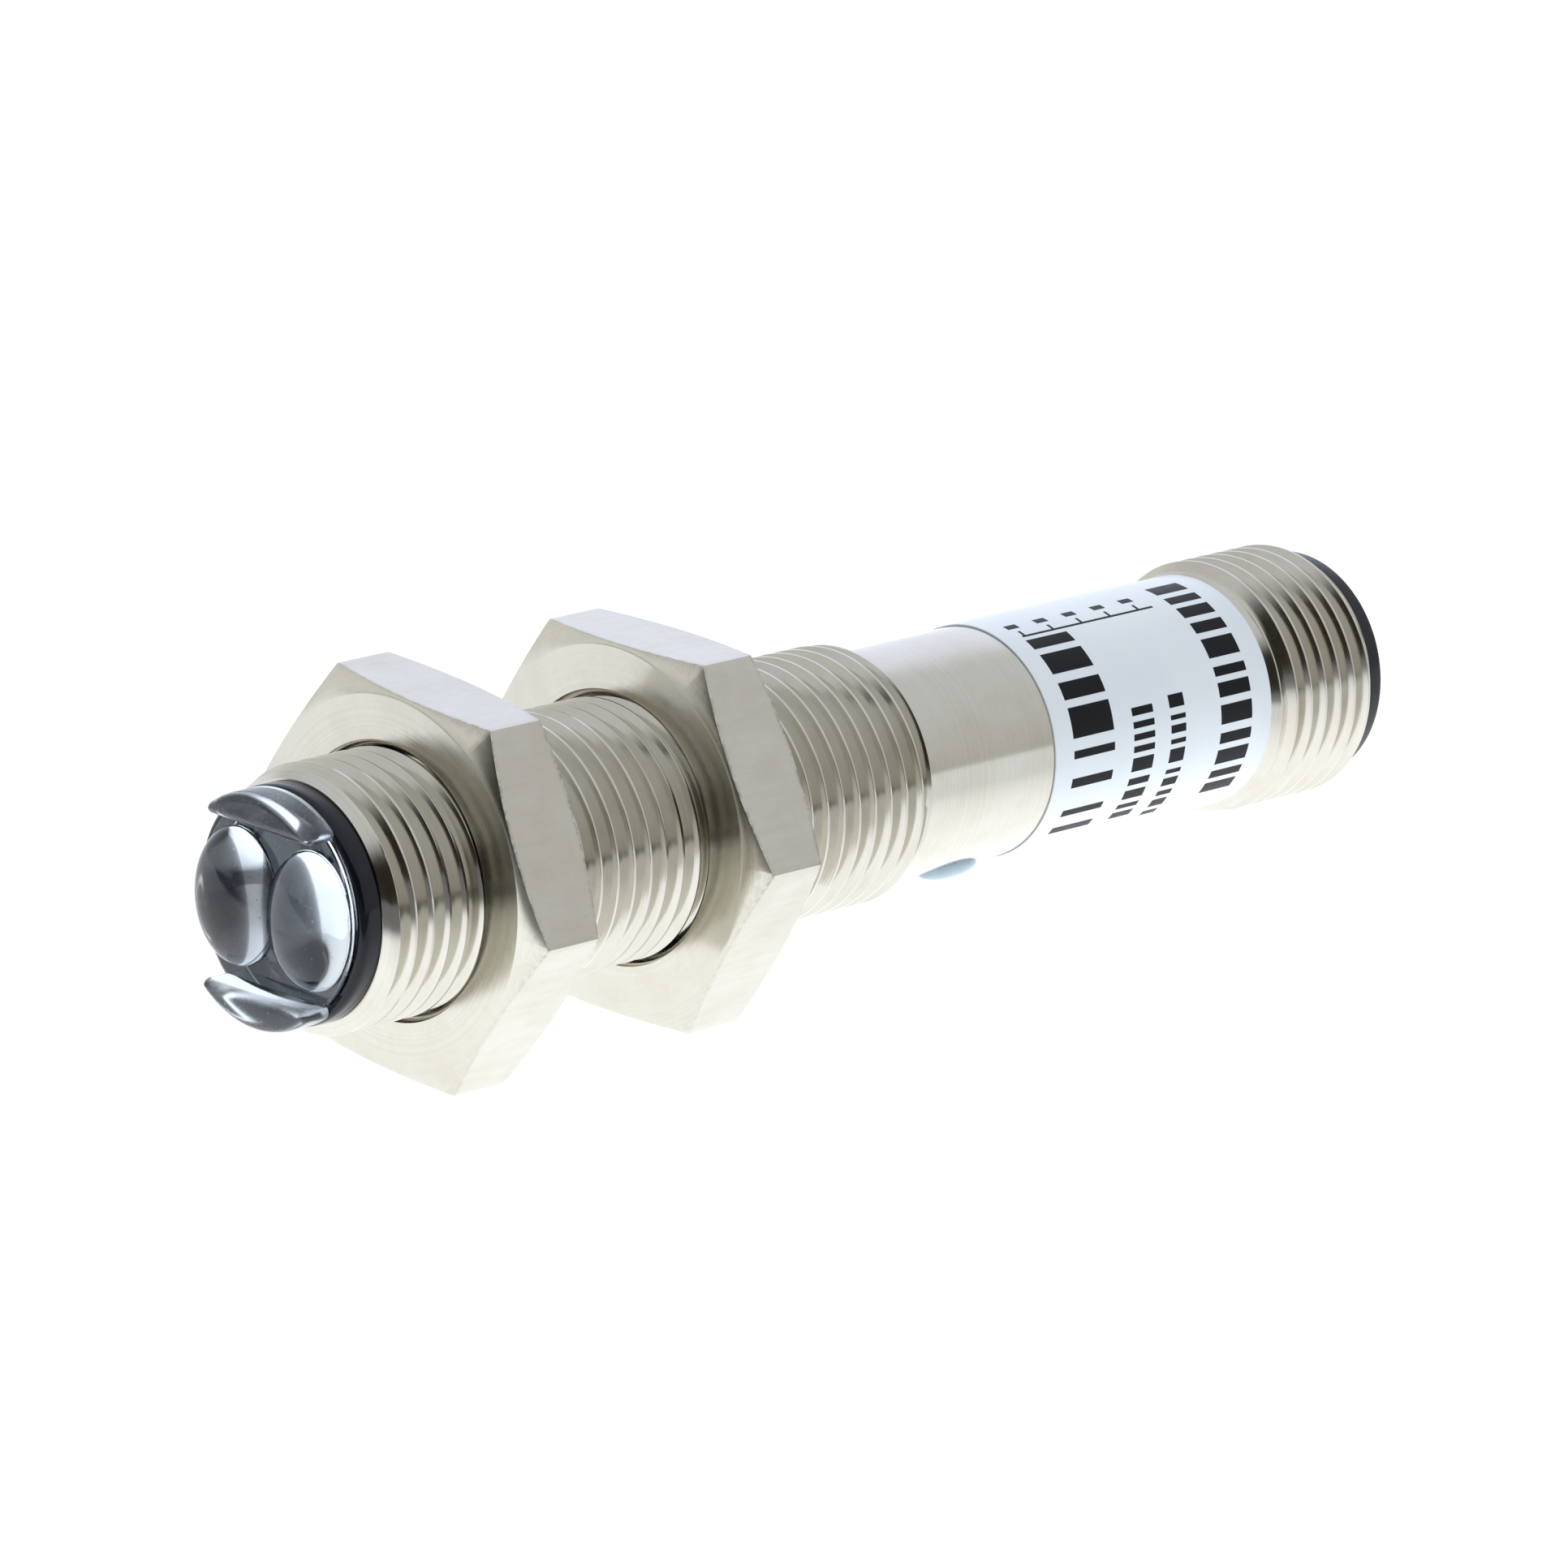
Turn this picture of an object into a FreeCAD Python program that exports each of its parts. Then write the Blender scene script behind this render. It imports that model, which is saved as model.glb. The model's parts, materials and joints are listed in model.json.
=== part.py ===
import FreeCAD, Part
import math
import os

import Sketcher

"""Tubular photoelectric sensor with a fine-threaded barrel, two hexagon nuts and a round plug connector.

Frame: millimetres, +X along the sensor's axis and out of the connector, +Z up, lens towards -X.
The origin is on the axis, in the plane of the connector's rear rim.
Stations in the sheet are distances forward of that plane, so a station s lies at X = -s.
"""

Vector = FreeCAD.Vector
DOC = FreeCAD.newDocument("photoelectric_sensor")
ALONG_X = FreeCAD.Rotation(Vector(0, 1, 0), 90)      # turns a primitive's +Z onto +X

# ---------------------------------------------------------------- driving dimensions
DIMENSIONS = {
    # metric fine thread, 12 mm by 1 mm, and its nuts
    "thread_radius": 6.0, "nut_flats": 17.0, "nut_thickness": 4.0, "nut_bore_radius": 6.05,
    "nut_countersink": 0.2, "nut_face_radius": 8.31, "nut_corner_drop": 0.52,
    "front_nut_station": 58.75, "rear_nut_station": 45.25, "front_nut_turn": 5.2,
    # barrel
    "smooth_radius": 5.4, "bore_radius": 4.95, "mouth_radius": 5.28, "mouth_depth": 1.2,
    "front_station": 63.95, "front_chamfer": 0.55, "thread_end_station": 30.35, "shoulder_chamfer": 0.6,
    # connector shell and its moulded insert
    "shell_station": 7.7, "spigot_length": 3.5, "spigot_radius": 4.93, "shell_bore_radius": 4.55,
    "rim_thickness": 0.85, "rim_radius": 5.45, "rim_bevel": 0.15, "shell_end_chamfer": 0.55,
    "carrier_radius": 4.5, "socket_radius": 4.2, "socket_depth": 8.6, "carrier_floor": 3.5,
    "seal_radius": 4.24, "seal_section_radius": 0.29, "seal_groove_radius": 3.94,
    "seal_groove_width": 0.8, "seal_station": 10.6, "key_width": 1.0, "key_height": 0.6,
    # contacts and leads
    "pin_radius": 0.5, "pin_collar_radius": 0.7, "pin_tail_radius": 0.35, "pin_circle_radius": 2.5,
    "pin_recess": 1.0, "pin_nose": 0.3, "pin_tail_length": 1.6, "lead_radius": 0.42,
    # optics
    "lens_radius": 4.9, "lens_face_station": 65.25, "lens_back_station": 62.6, "guard_reach": 1.38,
    "guard_radius": 5.3, "guard_chord": 3.7, "guard_round": 0.4, "lobe_rise": 1.2, "lobe_half_width": 2.5,
    "lobe_half_height": 3.15, "lobe_offset": 2.35, "ring_station": 65.0, "ring_radius": 5.25,
    "ring_bore_radius": 4.92, "ring_bevel": 0.25, "holder_radius": 4.9, "holder_station": 62.55,
    "holder_length": 9.55, "channel_radius": 1.85, "filter_radius": 2.0, "filter_thickness": 0.3,
    "filter_pocket": 0.35, "filter_play": 0.05, "board_pocket_radius": 4.5, "board_pocket_depth": 1.4,
    "optics_board_radius": 4.4, "board_thickness": 0.8, "optics_board_station": 54.3,
    # long board and potting
    "main_board_station": 53.4, "main_board_end": 17.4, "main_board_width": 8.4,
    "potting_station": 15.6, "potting_length": 3.4, "potting_radius": 4.93, "potting_hole": 0.46,
    # label and indicator
    "label_station": 22.3, "label_length": 14.55, "label_thickness": 0.07, "label_play": 0.01,
    "label_wrap": 330.0, "window_station": 25.6, "window_length": 3.0, "window_width": 2.4,
    "window_reach": 5.9, "window_turn": 22.0, "window_stem_length": 2.0, "window_stem_width": 1.2,
    "window_stem_foot": 4.2, "window_play": 0.02,
}


def make_sheet():
    """Write every driving dimension into a spreadsheet cell with the dimension's name as its alias."""
    sheet = DOC.addObject("Spreadsheet::Sheet", "Sizes")
    for row, (name, value) in enumerate(DIMENSIONS.items(), start=1):
        sheet.set(f"A{row}", name)
        sheet.set(f"B{row}", str(value))
        sheet.setAlias(f"B{row}", name)
    DOC.recompute()
    return sheet


SHEET = make_sheet()


def cells(formula):
    """Turn a formula in the dimensions' bare names into one that FreeCAD reads from the sheet."""
    out, word = [], ""
    for letter in formula + " ":
        if letter.isalnum() or letter == "_":
            word += letter
            continue
        out.append(f"Sizes.{word}" if word in DIMENSIONS else word)
        out.append(letter)
        word = ""
    return "".join(out).strip()


def size(formula):
    """Value of a formula in the sheet's dimensions, worked out by the sheet in a scratch cell."""
    SHEET.set("D1", "=" + cells(formula).replace("Sizes.", ""))
    SHEET.recompute()
    return float(SHEET.get("D1"))


# ---------------------------------------------------------------- helpers
def origin_feature(body, role):
    """One of a body's own origin planes or axes, by its role."""
    return next(f for f in body.Origin.OriginFeatures if f.Role == role)


def new_body(label, place=None):
    """An empty body with its label and place."""
    body = DOC.addObject("PartDesign::Body", label)
    body.Label = label
    if place:
        body.Placement = place
    return body


def new_sketch(body, name, plane, offset=None):
    """A sketch on one of the body's own planes."""
    sketch = body.newObject("Sketcher::SketchObject", name)
    sketch.AttachmentSupport = [(origin_feature(body, plane), "")]
    sketch.MapMode = "FlatFace"
    if offset:
        sketch.AttachmentOffset = offset
    return sketch


def bind(sketch, kind, args, name, formula):
    """Add a driving constraint and bind it to the sheet."""
    index = sketch.addConstraint(Sketcher.Constraint(kind, *args, size(formula)))
    sketch.renameConstraint(index, name)
    sketch.setExpression(f"Constraints.{name}", cells(formula))


def outline(sketch, corners):
    """Closed polygon whose corners are pairs of formulas, each bound to the sheet."""
    points = [Vector(size(a), size(b), 0) for a, b in corners]
    for i, point in enumerate(points):
        sketch.addGeometry(Part.LineSegment(point, points[(i + 1) % len(points)]), False)
    for i in range(len(points)):
        after = (i + 1) % len(points)
        sketch.addConstraint(Sketcher.Constraint("Coincident", i, 2, after, 1))
    for i, (a, b) in enumerate(corners):
        for axis, formula in (("X", a), ("Y", b)):
            if abs(size(formula)) < 1e-9:
                target = -2 if axis == "X" else -1
                sketch.addConstraint(Sketcher.Constraint("PointOnObject", i, 1, target))
            else:
                bind(sketch, f"Distance{axis}", (-1, 1, i, 1), f"corner{i}{axis}", formula)


def circle(sketch, across, up, radius, name):
    """A circle with its centre and radius bound to the sheet."""
    index = sketch.addGeometry(
        Part.Circle(Vector(size(across), size(up), 0), Vector(0, 0, 1), size(radius)), False)
    bind(sketch, "Radius", (index,), name + "R", radius)
    for axis, formula in (("X", across), ("Y", up)):
        if abs(size(formula)) < 1e-9:
            target = -2 if axis == "X" else -1
            sketch.addConstraint(Sketcher.Constraint("PointOnObject", index, 3, target))
        else:
            bind(sketch, f"Distance{axis}", (-1, 1, index, 3), name + axis, formula)
    return index


def turned(label, corners, angle="360", place=None):
    """A body turned about the X axis from an outline of (station along X, radius) formulas."""
    body = new_body(label, place)
    sketch = new_sketch(body, label + "_outline", "XZ_Plane")
    outline(sketch, corners)
    turn = body.newObject("PartDesign::Revolution", label + "_turned")
    turn.Profile = sketch
    turn.ReferenceAxis = (sketch, ["H_Axis"])
    turn.Angle = size(angle)
    turn.setExpression("Angle", cells(angle))
    DOC.recompute()
    return body


def cut_checked(body, feature, was):
    """Recompute and make sure that a pocket really removed material."""
    DOC.recompute()
    if body.Shape.Volume > was - 1e-3:
        raise RuntimeError(f"{feature.Label} cuts nothing")


def primitive(kind, name, place=None, **sizes):
    """A Part primitive whose properties are bound to formulas."""
    shape = DOC.addObject(kind, name)
    for key, formula in sizes.items():
        shape.setExpression(key, cells(formula))
    if place:
        bound_place(shape, *place)
    return shape


def bound_place(shape, x="0", y="0", z="0", rotation=None):
    """Place an object by three formulas, with an optional fixed rotation."""
    shape.Placement = FreeCAD.Placement(Vector(0, 0, 0), rotation or FreeCAD.Rotation())
    for axis, formula in zip("xyz", (x, y, z)):
        shape.setExpression(f"Placement.Base.{axis}", cells(formula))


def combine(kind, name, *shapes):
    """Cut, Fuse or Common of two objects, or MultiFuse of more."""
    result = DOC.addObject(f"Part::{kind}", name)
    result.Label = name
    if kind in ("MultiFuse", "MultiCommon"):
        result.Shapes = list(shapes)
    else:
        result.Base, result.Tool = shapes
    return result


def rod(name, start, length, radius, y="0", z="0"):
    """A round rod along +X from a station."""
    return primitive("Part::Cylinder", name, (f"0 - ({start})", y, z, ALONG_X),
                     Height=length, Radius=radius)


def block(name, start, length, y, width, z, height):
    """A box that runs towards +X from a station, centred at y and standing on z."""
    return primitive("Part::Box", name, (f"0 - ({start})", f"({y}) - ({width}) / 2", z),
                     Length=length, Width=width, Height=height)


# ---------------------------------------------------------------- turned metal
def make_barrel():
    """Threaded tube with a smooth rear, and the slot for the indicator window."""
    body = turned("barrel", [
        ("-front_station", "thread_radius - front_chamfer"),
        ("-front_station + front_chamfer", "thread_radius"),
        ("-thread_end_station - shoulder_chamfer", "thread_radius"),
        ("-thread_end_station", "smooth_radius"),
        ("-shell_station", "smooth_radius"),
        ("-shell_station", "bore_radius"),
        ("-front_station + mouth_depth", "bore_radius"),
        ("-front_station + mouth_depth", "mouth_radius"),
        ("-front_station", "mouth_radius"),
    ])
    was = body.Shape.Volume
    turn = FreeCAD.Placement(Vector(0, 0, 0), FreeCAD.Rotation(Vector(1, 0, 0), -DIMENSIONS["window_turn"]))
    sketch = new_sketch(body, "window_slot", "XY_Plane", turn)
    sketch.setExpression("AttachmentOffset.Rotation.Angle", cells("-window_turn"))
    ahead, behind = (f"-window_station {sign} (window_stem_length / 2 + window_play)" for sign in "-+")
    half = "window_stem_width / 2 + window_play"
    outline(sketch, [(ahead, f"0 - ({half})"), (behind, f"0 - ({half})"), (behind, half), (ahead, half)])
    slot = body.newObject("PartDesign::Pocket", "window_slot_cut")
    slot.Profile = sketch
    slot.Length = size("thread_radius")
    slot.setExpression("Length", cells("thread_radius"))
    slot.Reversed = False
    cut_checked(body, slot, was)
    return body


def make_connector_shell():
    """Rear shell: spigot inside the barrel, shoulder chamfer and the male connector thread."""
    return turned("connector_shell", [
        ("-shell_station - spigot_length", "spigot_radius"),
        ("-shell_station", "spigot_radius"),
        ("-shell_station", "smooth_radius"),
        ("-shell_station + shoulder_chamfer", "thread_radius"),
        ("-rim_thickness - shell_end_chamfer", "thread_radius"),
        ("-rim_thickness", "thread_radius - shell_end_chamfer"),
        ("-rim_thickness", "shell_bore_radius"),
        ("-shell_station - spigot_length", "shell_bore_radius"),
    ])


def make_nut(label, station, turn):
    """Hexagon nut: a turned blank with chamfered faces and countersunk bore, cut to six flats."""
    blank = turned(label + "_blank", [
        (f"-{station}", "nut_bore_radius + nut_countersink"),
        (f"-{station}", "nut_face_radius"),
        (f"-{station} + nut_corner_drop", "nut_flats / 2 / cos(30)"),
        (f"-{station} + nut_thickness - nut_corner_drop", "nut_flats / 2 / cos(30)"),
        (f"-{station} + nut_thickness", "nut_face_radius"),
        (f"-{station} + nut_thickness", "nut_bore_radius + nut_countersink"),
        (f"-{station} + nut_thickness - nut_countersink", "nut_bore_radius"),
        (f"-{station} + nut_countersink", "nut_bore_radius"),
    ])
    # a prism with a corner straight down its +X has its flats at top and bottom once it lies along +X
    lie = FreeCAD.Rotation(Vector(1, 0, 0), 90 + turn).multiply(ALONG_X)
    hexagon = primitive("Part::Prism", label + "_hexagon", (f"-{station}", "0", "0", lie),
                        Circumradius="nut_flats / 2 / cos(30)", Height="nut_thickness")
    hexagon.Polygon = 6
    nut = combine("Common", label, blank, hexagon)
    DOC.recompute()
    return nut


# ---------------------------------------------------------------- connector insert
def make_contact_carrier():
    """Moulded insert: cup with a rim behind the shell, floor with four holes, seal groove and key."""
    groove_front = "-seal_station - seal_groove_width / 2"
    groove_back = "-seal_station + seal_groove_width / 2"
    front = "-socket_depth - carrier_floor"
    body = turned("contact_carrier", [
        (front, "0"), (front, "carrier_radius"),
        (groove_front, "carrier_radius"), (groove_front, "seal_groove_radius"),
        (groove_back, "seal_groove_radius"), (groove_back, "carrier_radius"),
        ("-rim_thickness", "carrier_radius"), ("-rim_thickness", "rim_radius"),
        ("-rim_bevel", "rim_radius"), ("0", "rim_radius - rim_bevel"),
        ("0", "socket_radius + rim_bevel"), ("-rim_bevel", "socket_radius"),
        ("-socket_depth", "socket_radius"), ("-socket_depth", "0"),
    ])
    was = body.Shape.Volume
    sketch = new_sketch(body, "contact_hole", "YZ_Plane")
    circle(sketch, "pin_circle_radius * cos(45)", "pin_circle_radius * sin(45)", "pin_collar_radius", "hole")
    hole = body.newObject("PartDesign::Pocket", "contact_hole_cut")
    hole.Profile = sketch
    hole.Length = size("socket_depth + carrier_floor + 1")
    hole.setExpression("Length", cells("socket_depth + carrier_floor + 1"))
    hole.Reversed = False
    cut_checked(body, hole, was)
    one = was - body.Shape.Volume
    pattern = body.newObject("PartDesign::PolarPattern", "contact_holes")
    pattern.Originals = [hole]
    pattern.Axis = (origin_feature(body, "X_Axis"), [""])
    pattern.Angle = 360
    pattern.Occurrences = 4
    body.Tip = pattern
    DOC.recompute()
    if abs(was - 4 * one - body.Shape.Volume) > 0.01:
        raise RuntimeError("the contact holes are not four")
    key = new_sketch(body, "key_section", "YZ_Plane")
    low, high = "0 - key_width / 2", "key_width / 2"
    inner, outer = "socket_radius - key_height", "(socket_radius + carrier_radius) / 2"
    outline(key, [(low, inner), (high, inner), (high, outer), (low, outer)])
    pad = body.newObject("PartDesign::Pad", "key_rib")
    pad.Profile = key
    pad.Length = size("socket_depth")
    pad.setExpression("Length", cells("socket_depth"))
    pad.Reversed = True
    # the rib stops short of the rim by the same recess as the contacts
    key.AttachmentOffset = FreeCAD.Placement(Vector(0, 0, -DIMENSIONS["pin_recess"]), FreeCAD.Rotation())
    key.setExpression("AttachmentOffset.Base.z", cells("-pin_recess"))
    pad.setExpression("Length", cells("socket_depth - pin_recess"))
    body.Tip = pad
    DOC.recompute()
    return body


def make_contact_pin(number):
    """Round contact: nose, contact length, thicker collar in the floor, and a solder tail."""
    angle = math.radians(45 + 90 * number)
    reach = DIMENSIONS["pin_circle_radius"]
    place = FreeCAD.Placement(Vector(0, reach * math.cos(angle), reach * math.sin(angle)), FreeCAD.Rotation())
    floor, tail = "-socket_depth - carrier_floor", "-socket_depth - carrier_floor - pin_tail_length"
    body = turned(f"contact_pin_{number + 1}", [
        (tail, "0"), (tail, "pin_tail_radius"), (floor, "pin_tail_radius"), (floor, "pin_collar_radius"),
        ("-socket_depth", "pin_collar_radius"), ("-socket_depth", "pin_radius"),
        ("-pin_recess - pin_nose", "pin_radius"), ("-pin_recess", "pin_radius / 2"), ("-pin_recess", "0"),
    ], place=place)
    for axis, part in (("y", "cos"), ("z", "sin")):
        body.setExpression(f"Placement.Base.{axis}", cells(f"pin_circle_radius * {part}({45 + 90 * number})"))
    return body


def make_carrier_seal():
    """Round-section ring in the insert's groove."""
    body = new_body("carrier_seal")
    sketch = new_sketch(body, "carrier_seal_section", "XZ_Plane")
    circle(sketch, "-seal_station", "seal_radius", "seal_section_radius", "section")
    turn = body.newObject("PartDesign::Revolution", "carrier_seal_turned")
    turn.Profile = sketch
    turn.ReferenceAxis = (sketch, ["H_Axis"])
    turn.Angle = 360
    return body


def make_potting_plug():
    """Resin plug behind the insert with four holes for the leads."""
    plug = rod("potting_blank", "potting_station", "potting_length", "potting_radius")
    holes = []
    for number in range(4):
        y, z = (f"pin_circle_radius * {part}({45 + 90 * number})" for part in ("cos", "sin"))
        holes.append(rod(f"potting_hole_{number + 1}", "potting_station + 1", "potting_length + 2",
                         "potting_hole", y, z))
    return combine("Cut", "potting_plug", plug, combine("MultiFuse", "potting_holes", *holes))


LEAD_NAMES = ("lead_brown", "lead_white", "lead_blue", "lead_black")


def make_lead(number):
    """Insulated lead from a contact's tail to the long board: two straight runs and a sloped one."""
    angle = math.radians(45 + 90 * number)
    reach, board = DIMENSIONS["pin_circle_radius"], DIMENSIONS["board_thickness"] / 2
    y, z = reach * math.cos(angle), reach * math.sin(angle)
    radius = DIMENSIONS["lead_radius"]
    start = -size("socket_depth + carrier_floor + pin_tail_length")
    on_board = math.copysign(board + radius + 0.06, z)
    bends, bend_radius = [(start - 3.3, z), (start - 5.6, on_board)], 2.0
    half = math.atan2(abs(z - on_board), bends[0][0] - bends[1][0]) / 2
    back = bend_radius * math.tan(half)
    points = [Vector(start, y, z)]
    route = [(start, z), *bends, (start - 7.4, on_board)]
    edges = []
    for (x0, z0), (x1, z1), (x2, z2) in zip(route, route[1:], route[2:]):
        into, out = Vector(x1 - x0, 0, z1 - z0).normalize(), Vector(x2 - x1, 0, z2 - z1).normalize()
        corner = Vector(x1, y, z1)
        first, last = corner - into * back, corner + out * back
        chord = (last - first).Length / 2
        sag = bend_radius - math.sqrt(bend_radius ** 2 - chord ** 2)
        middle = (first + last) / 2 + (corner - (first + last) / 2).normalize() * sag
        edges += [Part.LineSegment(points[-1], first).toShape(), Part.Arc(first, middle, last).toShape()]
        points.append(last)
    edges.append(Part.LineSegment(points[-1], Vector(route[-1][0], y, route[-1][1])).toShape())
    path = Part.Wire(edges)
    section = Part.Wire(Part.makeCircle(radius, points[0], Vector(-1, 0, 0)))
    lead = DOC.addObject("Part::Feature", LEAD_NAMES[number])
    lead.Shape = path.makePipeShell([section], True, False)
    expected = math.pi * radius ** 2 * path.Length
    if abs(lead.Shape.Volume - expected) > 0.02 * expected:
        raise RuntimeError(f"{lead.Label} is not a clean tube")
    return lead


# ---------------------------------------------------------------- optics
def make_lens_block():
    """Clear block: round plug, two convex lobes side by side and two guard lips above and below."""
    plug = rod("lens_plug", "lens_face_station", "lens_face_station - lens_back_station", "lens_radius")
    lips = rod("lip_blank", "lens_face_station + guard_reach", "guard_reach + 0.2", "guard_radius")
    gap = block("lip_gap", "lens_face_station + guard_reach + 1", "guard_reach + 1", "0", "3 * lens_radius",
                "-guard_chord", "2 * guard_chord")
    lip = combine("Cut", "lens_lips", lips, gap)
    DOC.recompute()
    rounded = DOC.addObject("Part::Fillet", "lens_lips_rounded")
    rounded.Base = lip
    front = -size("lens_face_station + guard_reach")
    edges = [i for i, e in enumerate(lip.Shape.Edges, start=1)
             if all(abs(v.Point.x - front) < 1e-6 for v in e.Vertexes)]
    rounded.Edges = [(i, size("guard_round"), size("guard_round")) for i in edges]
    lobes = []
    for side, sign in (("left", "+"), ("right", "-")):
        lobe = primitive("Part::Ellipsoid", f"{side}_lobe",
                         ("-lens_face_station", f"0 {sign} lobe_offset", "0"),
                         Radius1="lobe_half_height", Radius2="lobe_rise", Radius3="lobe_half_width")
        lobes.append(lobe)
    return combine("MultiFuse", "lens_block", plug, rounded, *lobes)


def make_lens_ring():
    """Black ring between the clear block and the barrel's mouth."""
    back = "-front_station + mouth_depth"
    return turned("lens_ring", [
        (back, "ring_bore_radius"), (back, "ring_radius"),
        ("-ring_station + ring_bevel", "ring_radius"), ("-ring_station", "ring_radius - ring_bevel"),
        ("-ring_station", "ring_bore_radius"),
    ])


def make_optics_holder():
    """Black holder: two light channels with a wall between, filter pockets and a rear board pocket."""
    blank = rod("holder_blank", "holder_station", "holder_length", "holder_radius")
    tools = [rod("board_pocket", "holder_station - holder_length + board_pocket_depth",
                 "board_pocket_depth + 1", "board_pocket_radius")]
    for side, sign in (("left", "+"), ("right", "-")):
        y = f"0 {sign} lobe_offset"
        tools.append(rod(f"{side}_channel", "holder_station + 1", "holder_length", "channel_radius", y))
        tools.append(rod(f"{side}_pocket", "holder_station + 1", "filter_pocket + 1",
                         "filter_radius + filter_play", y))
    return combine("Cut", "optics_holder", blank, combine("MultiFuse", "holder_hollows", *tools))


def make_filter(label, sign):
    """Polarising disc in front of one channel."""
    disc = rod(label, "holder_station - 0.02", "filter_thickness", "filter_radius", f"0 {sign} lobe_offset")
    disc.Label = label
    return disc


def make_optics_board():
    """Round board that closes the holder."""
    board = rod("optics_board", "optics_board_station", "board_thickness", "optics_board_radius")
    board.Label = "optics_board"
    return board


# ---------------------------------------------------------------- electronics
# name: station of its front, length, y of its middle, width, height, side of the board
PACKAGES = {
    "sensor_chip": (49.0, 5.0, 0.0, 5.0, 0.9, 1),
    "voltage_regulator": (37.5, 4.4, 0.6, 2.6, 1.4, 1),
    "output_transistor": (28.6, 2.9, -1.2, 1.6, 1.1, 1),
}
INDICATOR_LED = (26.4, 1.6, 0.0, 0.8, 0.7, -1)
# stations and y of the small capacitors on top of the board
CAPACITORS = [(42.4, 2.4), (42.4, -2.4), (40.2, 2.4), (33.0, -2.2), (31.0, 2.2), (25.0, 1.8)]
CAPACITOR_SIZE = (1.6, 0.8, 0.8)


def make_package(label, station, length, y, width, height, side):
    """A moulded package with bevelled top edges, standing on one face of the long board."""
    base = DIMENSIONS["board_thickness"] / 2
    box = block(label + "_blank", str(station), str(length), str(y), str(width),
                f"{base if side > 0 else -base - height}", str(height))
    DOC.recompute()
    bevel = DOC.addObject("Part::Chamfer", label)
    bevel.Label = label
    bevel.Base = box
    top = base + height if side > 0 else -base - height
    edges = [i for i, e in enumerate(box.Shape.Edges, start=1)
             if all(abs(v.Point.z - top) < 1e-6 for v in e.Vertexes)]
    bevel.Edges = [(i, 0.12 * height, 0.12 * height) for i in edges]
    return bevel


def make_main_board():
    """Long board down the middle of the barrel, narrowed at the front to pass the holder's pocket."""
    body = new_body("main_board")
    sketch = new_sketch(body, "main_board_outline", "XY_Plane")
    front, back, half = "-main_board_station", "-main_board_end", "main_board_width / 2"
    neck = "-main_board_station + 2.5"
    outline(sketch, [
        (front, "-optics_board_radius + 1.2"), (neck, "-optics_board_radius + 1.2"), (neck, f"0 - {half}"),
        (back, f"0 - {half}"), (back, half), (neck, half), (neck, "optics_board_radius - 1.2"),
        (front, "optics_board_radius - 1.2"),
    ])
    pad = body.newObject("PartDesign::Pad", "main_board_plate")
    pad.Profile = sketch
    pad.Length = size("board_thickness")
    pad.setExpression("Length", cells("board_thickness"))
    pad.SideType = "Symmetric"
    return body


def make_chip_on_optics(label, y_sign, side_length, height):
    """Optical chip package on the front of the round board."""
    y = f"({y_sign}) * lobe_offset"
    chip = block(label, f"optics_board_station + {height}", str(height), y, str(side_length),
                 f"{-side_length / 2}", str(side_length))
    chip.Label = label
    return chip


def make_capacitors():
    """Small chip capacitors, one node of separate solids."""
    length, width, height = CAPACITOR_SIZE
    boxes = [block(f"capacitor_{i + 1}", str(station), str(length), str(y), str(width),
                   "board_thickness / 2", str(height)) for i, (station, y) in enumerate(CAPACITORS)]
    group = DOC.addObject("Part::Compound", "board_capacitors")
    group.Label = "board_capacitors"
    group.Links = boxes
    return group


# ---------------------------------------------------------------- label and window
def make_label():
    """Thin label wrapped round the smooth rear, with a narrow seam gap on the far side."""
    inner, outer = "smooth_radius + label_play", "smooth_radius + label_play + label_thickness"
    front, back = "-label_station", "-label_station + label_length"
    label = turned("rating_label", [(front, inner), (front, outer), (back, outer), (back, inner)],
                   angle="label_wrap")
    # the outline starts at the top, so the seam gap ends there; turn it to the lower far side
    label.Placement = FreeCAD.Placement(Vector(0, 0, 0), FreeCAD.Rotation(Vector(1, 0, 0), -120))
    return label


def make_window():
    """Clear indicator window: a stem through the barrel's slot and an oval dome on the outside."""
    stem = primitive("Part::Box", "window_stem",
                     ("-window_station - window_stem_length / 2", "0 - window_stem_width / 2",
                      "0 - smooth_radius - 0.1"),
                     Length="window_stem_length", Width="window_stem_width",
                     Height="smooth_radius + 0.1 - window_stem_foot")
    sink = 1.0
    dome = primitive("Part::Ellipsoid", "window_dome", ("-window_station", "0", f"0 - smooth_radius + {sink}"),
                     Radius1=f"window_reach - smooth_radius + {sink}", Radius2="window_length * 0.70",
                     Radius3="window_width * 0.70")
    core = primitive("Part::Cylinder", "window_core", ("-window_station - window_length", "0", "0", ALONG_X),
                     Radius="smooth_radius", Height="2 * window_length")
    cap = combine("Cut", "window_cap", dome, core)
    window = combine("Fuse", "indicator_window", stem, cap)
    turn = FreeCAD.Rotation(Vector(1, 0, 0), -DIMENSIONS["window_turn"])
    window.Placement = FreeCAD.Placement(Vector(0, 0, 0), turn)
    window.setExpression("Placement.Rotation.Angle", cells("-window_turn"))
    return window


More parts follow.
